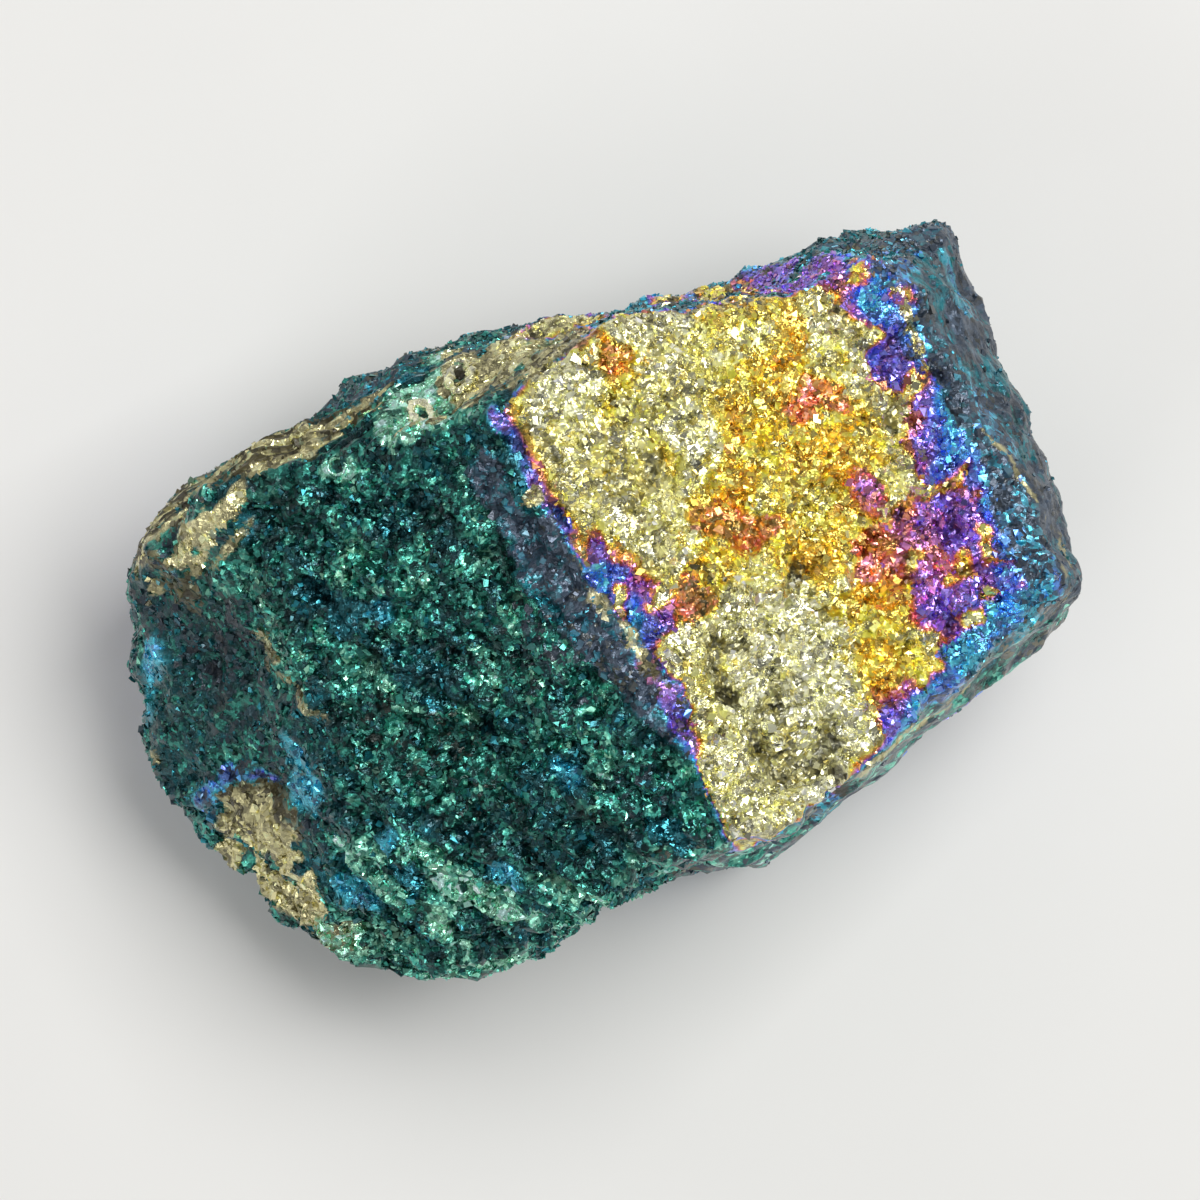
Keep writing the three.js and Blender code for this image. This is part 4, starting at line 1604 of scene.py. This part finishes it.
@dataclass
class GrainBed:
    """The finished skin that the grains are set in: its points, cells, numbers and shares of kinds."""

    points: Array
    quads: Array
    numbers: dict[str, Array]
    shares: dict[Kind, Array]
    least_area: float = 1e-12  # keeps a division clear of zero, in square mm

    def cells(self) -> tuple[Array, Array, Array]:
        """The cells' middles, and the way and size of half the cross product of their diagonals.

        Returns:
            Middles (m, 3), unit normals (m, 3) and areas (m,).
        """
        a, b, c, d = (self.points[self.quads[:, k]] for k in range(4))
        cross = np.cross(c - a, d - b) / 2
        area = np.linalg.norm(cross, axis=1)
        return (a + b + c + d) / 4, cross / (area[:, None] + self.least_area), area


@dataclass
class StoneSkin:
    """The stone's skin, a closed grid of points on the six sides of a cube pushed out to the surface."""

    form: StoneForm
    tarnish: Tarnish
    cells: int = 128  # along each edge of the cube
    lift: float = 0.4  # how much more closely the cells are packed at the top
    merged: float = 1e6  # rays that agree to one part in this many are one
    margin: float = 0.01  # of a side's square of the chart
    lumps: tuple[Octave, ...] = (Octave(3.42, 0.6, 411), Octave(1.9, 1.0, 401))
    grains: tuple[Octave, ...] = (Octave(0.95, 1.0, 411),)
    swell: Octave = Octave(2.2, 0.3, 421)
    folds: tuple[Octave, ...] = (Octave(3.0, 0.9, 451), Octave(1.4, 0.8, 452), Octave(0.7, 0.5, 453))
    streak_crest: float = 0.6
    streak_fall: float = 1.6
    hollow: Step = Step(0.03, 0.6)  # how far down between the crystals the painted shade of a hollow starts and is full, in mm
    hollow_shade_share: float = 0.9
    dented: Step = Step(18, 22)  # how high on the stone the dents start and are full, in mm
    flat: float = 1e-3  # what lies lower than this is the flat spot that it rests on, in mm
    bed_blend: float = 0.5  # how softly the grains of one kind of face give way to the next, in mm
    finish: SkinFinish = field(default_factory=SkinFinish)
    bed: GrainBed | None = field(init=False, default=None)

    sides: ClassVar[tuple[tuple[tuple[int, int, int], ...], ...]] = (  # the way out, across and up
        ((1, 0, 0), (0, 1, 0), (0, 0, 1)),
        ((-1, 0, 0), (0, 0, 1), (0, 1, 0)),
        ((0, 1, 0), (0, 0, 1), (1, 0, 0)),
        ((0, -1, 0), (1, 0, 0), (0, 0, 1)),
        ((0, 0, 1), (1, 0, 0), (0, 1, 0)),
        ((0, 0, -1), (0, 1, 0), (1, 0, 0)),
    )

    def grid(self) -> tuple[Array, Array, Array]:
        """The rays, the cells and their place on the flat chart.

        A side's ray goes out, plus across and up by the tangent of an even turn, stretched as the stone is.
        Then lift is added to each unit ray's height. Rays that two sides share become one. Each side has its
        own square of the chart.

        Returns:
            Unit rays (n, 3), cell corners (m, 4), and chart places of the corners (4 m, 2).
        """
        n = self.cells
        spread = np.tan((np.arange(n + 1) / n - 0.5) * np.pi / 2)
        across, up = np.meshgrid(spread, spread, indexing="ij")
        steps = cell_corners(n, n)
        corners = steps @ np.array([n + 1, 1])
        rays, quads, chart = [], [], []
        for k, (out, first, second) in enumerate(self.sides):
            side = np.array(out) + across[..., None] * np.array(first) + up[..., None] * np.array(second)
            rays.append(side.reshape(-1, 3))
            quads.append(corners + k * (n + 1) ** 2)
            chart.append(on_chart((k % 3, k // 3), (3, 2), steps / n, self.margin))
        rays = unit(np.concatenate(rays) * np.array(self.form.stretch))
        rays = unit(rays + np.array([0, 0, self.lift]))
        keys = np.round(rays * self.merged).astype(np.int64)
        _, first, back = np.unique(keys, axis=0, return_index=True, return_inverse=True)
        return rays[first], back.ravel()[np.concatenate(quads)], np.concatenate(chart).reshape(-1, 2)

    def relief(self, points: Array) -> tuple[Array, Array]:
        """The height of the fine relief, in mm, and the painted shade of how deep each point lies between the
        crystals.

        Three sizes of packed crystals, a ridged swell, folds that are sharp where their noise crosses zero,
        thin beds as a sawtooth of their count, and ridges drawn out along the streaks' heading. The dents are
        added to the height alone.

        Args:
            points: points in mm, shape (n, 3).

        Returns:
            The height at each point, and its hollow, the painted shade, from 0 on the crystals to 1 down
            between them.
        """
        depth = self.tarnish.depths(points)
        height = np.zeros(len(points))
        for name, octaves in (("lump", self.lumps), ("grain", self.grains)):
            for octave in octaves:
                height += octave.depth * depth[name] * crystals(points, octave.size, octave.seed)
        height += self.swell.depth * self.swell.ridges(points)
        for octave in self.folds:
            height += depth["fold"] * octave.depth * octave.ridges(points)
        beds = self.form.beds(points)
        height += depth["layer"] * (beds - np.floor(beds) - 0.5)
        height += depth["streak"] * (self.streak_crest - self.streak_fall * np.abs(STREAKS.at(points)))
        dents = sum(dent.height(points) for dent in DENTS) * self.dented.of(points[:, 2])
        return height + dents, self.hollow.of(-height)

    def build(self) -> bpy.types.Object:
        """Builds the skin and dresses it: each point moves along its normal by the relief.

        Returns:
            The skin.
        """
        rays, quads, chart = self.grid()
        points = self.form.surface(rays)
        normals = self.form.normals(points)
        height, hollow = self.relief(points)
        height = np.where(points[:, 2] < self.flat, 0.0, height)
        moved = points + normals * height[:, None]
        moved[:, 2] = np.maximum(moved[:, 2], 0.0)
        skin = new_object("peacock_ore_skin", moved, quads)
        # The painted shade of the hollows goes into the numbers with the tarnish.
        numbers = self.tarnish.numbers(points, normals, self.hollow_shade_share * hollow)
        add_numbers(skin, numbers)
        add_chart(skin, chart)
        skin.data.materials.append(self.finish.material())
        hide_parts(NODE)
        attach(skin, "root")
        self.bed = GrainBed(moved, quads, numbers, self.form.shares(points, self.bed_blend))
        return skin


@dataclass
class GrainCrust:
    """Angular grains of one region, each a small skewed block, half sunk in the skin."""

    name: str
    density: dict[Kind, float]  # how thickly each kind of face is set, as a share of the thickest
    sizes: tuple[float, float]  # smallest and largest grain, edge to edge, in mm
    seed: int
    count: int
    lowest: float = 0.6  # no grain is set lower than this
    tilt: float = 0.33  # how far a grain leans from the skin's normal
    sunk: float = 0.27  # how far a grain's middle lies under the skin, as a share of its size
    skew: float = 0.14  # how far its corners are moved, as a share of its size
    least_stretch: float = 0.65  # its least length along one of its axes, as a share of its size
    more_stretch: float = 0.7  # how much longer it may be
    film_change: float = 0.035  # how much the film differs from grain to grain
    hollow_shade_share: float = 0.7  # of the painted shade of the skin's hollow under it
    margin: float = 0.2  # of a grain's square of the chart
    finish: GrainFinish = field(default_factory=GrainFinish)

    corners: ClassVar[Array] = np.array([[x, y, z] for x in (-1, 1) for y in (-1, 1) for z in (-1, 1)]) / 2
    sides: ClassVar[Array] = np.array(
        [[0, 1, 3, 2], [4, 6, 7, 5], [0, 4, 5, 1], [2, 3, 7, 6], [0, 2, 6, 4], [1, 5, 7, 3]]
    )

    def turns(self, random: np.random.Generator, normal: Array) -> Array:
        """The grains' own axes, as the columns of a matrix for each.

        The third axis is the skin's normal plus a random vector, the first is a random vector less its part
        along the third, and the second is their cross product.

        Args:
            random: where the draws come from.
            normal: the skin's unit normal at each grain, shape (n, 3).

        Returns:
            The matrices, shape (n, 3, 3).
        """
        third = unit(normal + self.tilt * random.normal(size=normal.shape))
        first = random.normal(size=normal.shape)
        first = unit(first - (first * third).sum(axis=1, keepdims=True) * third)
        return np.stack([first, np.cross(third, first), third], axis=2)

    def build(self, bed: GrainBed) -> bpy.types.Object:
        """Builds the grains and dresses them.

        A grain's corners are those of a unit cube, each moved a little, stretched along its own axes, turned,
        and moved to a random place of the skin. Cells are drawn by area times the density of their kind of
        face. A grain has the numbers of the nearest point of the skin, and a random tone.

        Args:
            bed: the skin that they are set in.

        Returns:
            The grains, as one object.
        """
        random = np.random.default_rng(self.seed)
        middle, normal, area = bed.cells()
        thick = sum(bed.shares[kind] * much for kind, much in self.density.items())[bed.quads].mean(axis=1)
        weight = area * thick * (middle[:, 2] > self.lowest)
        chosen = random.choice(len(area), self.count, p=weight / weight.sum())
        share = random.dirichlet(np.ones(4), self.count)
        place = np.einsum("nk,nkd->nd", share, bed.points[bed.quads[chosen]])
        size = mix(*self.sizes, random.random(self.count) ** 2)
        block = self.corners + self.skew * random.normal(size=(self.count, 8, 3))
        stretch = self.least_stretch + self.more_stretch * random.random((self.count, 1, 3))
        block = block * stretch * size[:, None, None]
        block = np.einsum("nij,nkj->nki", self.turns(random, normal[chosen]), block)
        points = block + (place - normal[chosen] * (self.sunk * size)[:, None])[:, None, :]
        points[..., 2] = np.maximum(points[..., 2], 0.0)
        quads = self.sides + 8 * np.arange(self.count)[:, None, None]
        grains = new_object(self.name, points.reshape(-1, 3), quads.reshape(-1, 4), smooth=False)
        nearest = bed.quads[chosen, share.argmax(axis=1)]
        numbers = {name: values[nearest] for name, values in bed.numbers.items()}
        numbers["tone"] = random.random(self.count)
        numbers["film"] = numbers["film"] + self.film_change * random.normal(size=self.count)
        numbers["hollow"] = self.hollow_shade_share * numbers["hollow"]
        add_numbers(grains, {name: np.repeat(values, 8) for name, values in numbers.items()})
        add_chart(grains, self.chart())
        grains.data.materials.append(self.finish.material())
        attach(grains, "root")
        return grains

    def chart(self) -> Array:
        """The grains' places on the flat chart: each has one small square, and its six sides share it.

        Returns:
            The places of the corners of each side of each grain, shape (n, 6, 4, 2).
        """
        across = int(np.ceil(np.sqrt(self.count)))
        index = np.arange(self.count)
        square = np.stack([index % across, index // across], axis=1)[:, None, None, :]
        return on_chart(square, (across, across), CELL, self.margin).repeat(6, axis=1)


CRUSTS = (
    GrainCrust("gold_grains", {Kind.GOLD: 1.0}, (0.14, 0.42), seed=1, count=8000),
    GrainCrust(
        "teal_grains",
        {Kind.TEAL: 1.0, Kind.STREAKED: 1.0, Kind.SLATE: 0.45, Kind.LEAVES: 0.3},
        (0.14, 0.4),
        seed=2,
        count=12000,
    ),
    GrainCrust("side_grains", {Kind.SIDE: 1.0, Kind.STEEL: 0.05}, (0.12, 0.3), seed=3, count=9000),
    GrainCrust(
        "under_grains", {Kind.UNDER: 1.0, Kind.SIDE: 0.3, Kind.SLATE: 0.2}, (0.15, 0.38), seed=4, count=12000
    ),
)


@dataclass(frozen=True)
class Ring:
    """A small raised ring of crystal: its middle, half lengths and turn seen from above, and its rim, in mm.

    lift is how far its line lies above the skin, and film is its tarnish film.
    """

    x: float
    y: float
    long: float
    wide: float
    turn: float
    rim: float
    lift: float
    film: float

    def line(self, way: Array) -> tuple[Array, Array]:
        """The ring's line seen from above, and the way outward from it.

        The line is the half lengths times the cosine and the sine of the way round, turned.

        Args:
            way: the way round, in radians.

        Returns:
            Points and unit vectors, each of shape (n, 2).
        """
        c, s = np.cos(np.radians(self.turn)), np.sin(np.radians(self.turn))
        turned = np.array([[c, s], [-s, c]])
        out = np.stack([np.cos(way), np.sin(way)], axis=1)
        return np.array([self.x, self.y]) + out * np.array([self.long, self.wide]) @ turned, out @ turned


@dataclass
class RingRims:
    """The raised rims of the small rings: lumpy closed hoops, half sunk in the skin."""

    name: str = "ring_rims"
    rings: tuple[Ring, ...] = (
        Ring(-10.8, 11.3, 0.75, 0.5, -40, 0.5, 0.15, 0.01),
        Ring(-8.5, 13.4, 0.85, 0.6, 65, 0.6, 0.35, 0.03),
        Ring(-15.9, 8.1, 0.55, 0.5, 0, 0.2, 0.05, 0.97),
    )
    around: int = 80  # points along a hoop
    across: int = 24  # points round its section
    near: float = 2.5  # how far from a ring the skin is looked at
    reach: float = 0.35  # how quickly a point of the skin counts for less with its distance
    lumps: Octave = Octave(0.3, 0.55, 471)  # how lumpy it is, as a share of its thickness
    rust: Octave = Octave(0.6, 0.12, 472)
    grit: float = 0.5
    margin: float = 0.02  # of a ring's square of the chart

    def heights(self, bed: GrainBed, places: Array) -> Array:
        """The skin's height under places: the mean of its near points, weighed by a bell of their distance.

        Args:
            bed: the skin.
            places: places seen from above, shape (n, 2).

        Returns:
            The height under each, in mm.
        """
        near = bed.points[np.hypot(*(bed.points[:, :2] - places.mean(axis=0)).T) < self.near]
        near = near[near[:, 2] > HEIGHT / 2]
        squared = ((places[:, None, :] - near[None, :, :2]) ** 2).sum(axis=2)
        weight = np.exp(-squared / self.reach**2)
        return (weight * near[:, 2]).sum(axis=1) / weight.sum(axis=1)

    def build(self, bed: GrainBed, material: bpy.types.Material) -> bpy.types.Object:
        """Builds the hoops and dresses them.

        A hoop's point is on the ring's line at the skin's height, plus a circle across the line, whose radius
        is half the rim's thickness, swelled by noise.

        Args:
            bed: the skin that they are set in.
            material: the skin's material.

        Returns:
            The hoops, as one object.
        """
        way, side = (2 * np.pi * np.arange(n) / n for n in (self.around, self.across))
        steps = cell_corners(self.around, self.across)
        corners = (steps[..., 0] % self.around) * self.across + steps[..., 1] % self.across
        share = steps / np.array([self.around, self.across])
        parts, quads, chart = [], [], []
        for k, ring in enumerate(self.rings):
            line, out = ring.line(way)
            middle = np.column_stack([line, self.heights(bed, line) + ring.lift])[:, None, :]
            outward = np.column_stack([out, np.zeros(self.around)])[:, None, :]
            section = np.cos(side)[None, :, None] * outward
            section = section + np.sin(side)[None, :, None] * np.array([0, 0, 1])
            swell = self.lumps.at((middle + ring.rim / 2 * section).reshape(-1, 3))
            radius = ring.rim / 2 * (1 + swell.reshape(self.around, self.across, 1))
            parts.append((middle + radius * section).reshape(-1, 3))
            quads.append(corners[:, ::-1] + k * self.around * self.across)
            chart.append(on_chart((k, 0), (len(self.rings), 1), share, self.margin))
        points = np.concatenate(parts)
        rims = new_object(self.name, points, np.concatenate(quads))
        numbers = {
            "film": np.repeat([ring.film for ring in self.rings], self.around * self.across),
            "slate": np.full(len(points), LEAST),
            "bare": np.full(len(points), LEAST),
            "rust": np.clip(self.rust.at(points), LEAST, MOST),
            "hollow": np.full(len(points), LEAST),
            "grit": np.full(len(points), self.grit),
        }
        add_numbers(rims, numbers)
        add_chart(rims, np.concatenate(chart).reshape(-1, 2))
        rims.data.materials.append(material)
        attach(rims, "root")
        return rims


# ---------------------------------------------------------------------------------------------------------
# The stage


@dataclass(frozen=True)
class Lamp:
    """A square soft light: where it shines from, as heading and height above the horizon in degrees."""

    name: str
    heading: float
    height: float
    away: float  # metres
    side: float  # metres
    power: float  # watts

    def build(self) -> bpy.types.Object:
        """Builds the light, pointed at the middle of the stone.

        Returns:
            The light.
        """
        data = bpy.data.lights.new(self.name, "AREA")
        data.shape = "SQUARE"
        data.size = self.side
        data.energy = self.power
        made = bpy.data.objects.new(self.name, data)
        h, e = np.radians([self.heading, self.height])
        toward = Vector((np.cos(h) * np.cos(e), np.sin(h) * np.cos(e), np.sin(e)))
        middle = Vector((0, 0, HEIGHT / 2 * MM))
        made.location = middle + toward * self.away
        made.rotation_euler = toward.to_track_quat("Z", "Y").to_euler()
        bpy.context.scene.collection.objects.link(made)
        return made


@dataclass
class Stage:
    """The pale floor, the soft lights and the camera straight above."""

    floor_half: float = 1.5  # metres
    floor_drop: float = 0.00005  # metres under the stone, so that the two don't share a plane
    share_of_frame: float = 0.80
    focus: float = 0.7  # where the stone has its share of the frame, as a share of its height
    near: float = 0.01  # metres, closer than which the camera sees nothing
    lens: float = 300.0
    sensor: float = 36.0
    lamps: tuple[Lamp, ...] = (
        Lamp("key light", 35, 64, 0.6, 0.34, 3.05),
        Lamp("fill light", 225, 40, 0.8, 0.4, 1.0),
        Lamp("back light", 130, 35, 0.8, 0.4, 0.5),
    )
    world: float = 0.32

    def floor(self) -> bpy.types.Object:
        """Builds the floor: one square, a little under what the stone rests on.

        Returns:
            The floor.
        """
        level = np.full((4, 1), -self.floor_drop)
        points = np.hstack([self.floor_half * (2 * CELL - 1), level]) / MM
        made = new_object("floor", points, np.array([[0, 1, 2, 3]]), smooth=False)
        made.data.materials.append(FloorFinish().material())
        return made

    def camera(self) -> bpy.types.Object:
        """Builds the camera, straight above the stone, with +Y up in the picture.

        It is as far away as the lens needs to give the stone's length its share of the frame.

        Returns:
            The camera.
        """
        low, high = (np.array(corner) for corner in CAD_BOX)
        width = (high[0] - low[0]) / self.share_of_frame
        away = width * self.lens / self.sensor
        data = bpy.data.cameras.new("camera")
        data.lens = self.lens
        data.sensor_width = self.sensor
        data.clip_start = self.near
        made = bpy.data.objects.new("camera", data)
        made.location = ((low[0] + high[0]) / 2, (low[1] + high[1]) / 2, high[2] * self.focus + away)
        bpy.context.scene.collection.objects.link(made)
        bpy.context.scene.camera = made
        return made

    def build(self) -> None:
        """Builds the whole stage: floor, camera, lights and a plain white world."""
        self.floor()
        self.camera()
        for lamp in self.lamps:
            lamp.build()
        world = bpy.data.worlds.new("soft surroundings")
        world.use_nodes = True
        background = world.node_tree.nodes["Background"].inputs
        background["Color"].default_value = (1, 1, 1, 1)
        background["Strength"].default_value = self.world
        bpy.context.scene.world = world
        bpy.context.scene.view_settings.view_transform = "Standard"


def main() -> None:
    """Builds the skin, the crusts of grains, the ring rims and the stage in order."""
    logging.basicConfig(level=logging.INFO, format="%(name)s: %(message)s")
    form = StoneForm()
    stone = StoneSkin(form, Tarnish(form))
    pieces = [stone.build()]
    pieces += [crust.build(stone.bed) for crust in CRUSTS]
    pieces.append(RingRims().build(stone.bed, pieces[0].data.materials[0]))
    for piece in pieces:
        LOG.info("%s: %d points, %d faces", piece.name, len(piece.data.vertices), len(piece.data.polygons))
    stage = Stage()
    stage.build()
    LOG.info("stage: floor, %d lights and camera", len(stage.lamps))


if __name__ == "__main__":
    main()
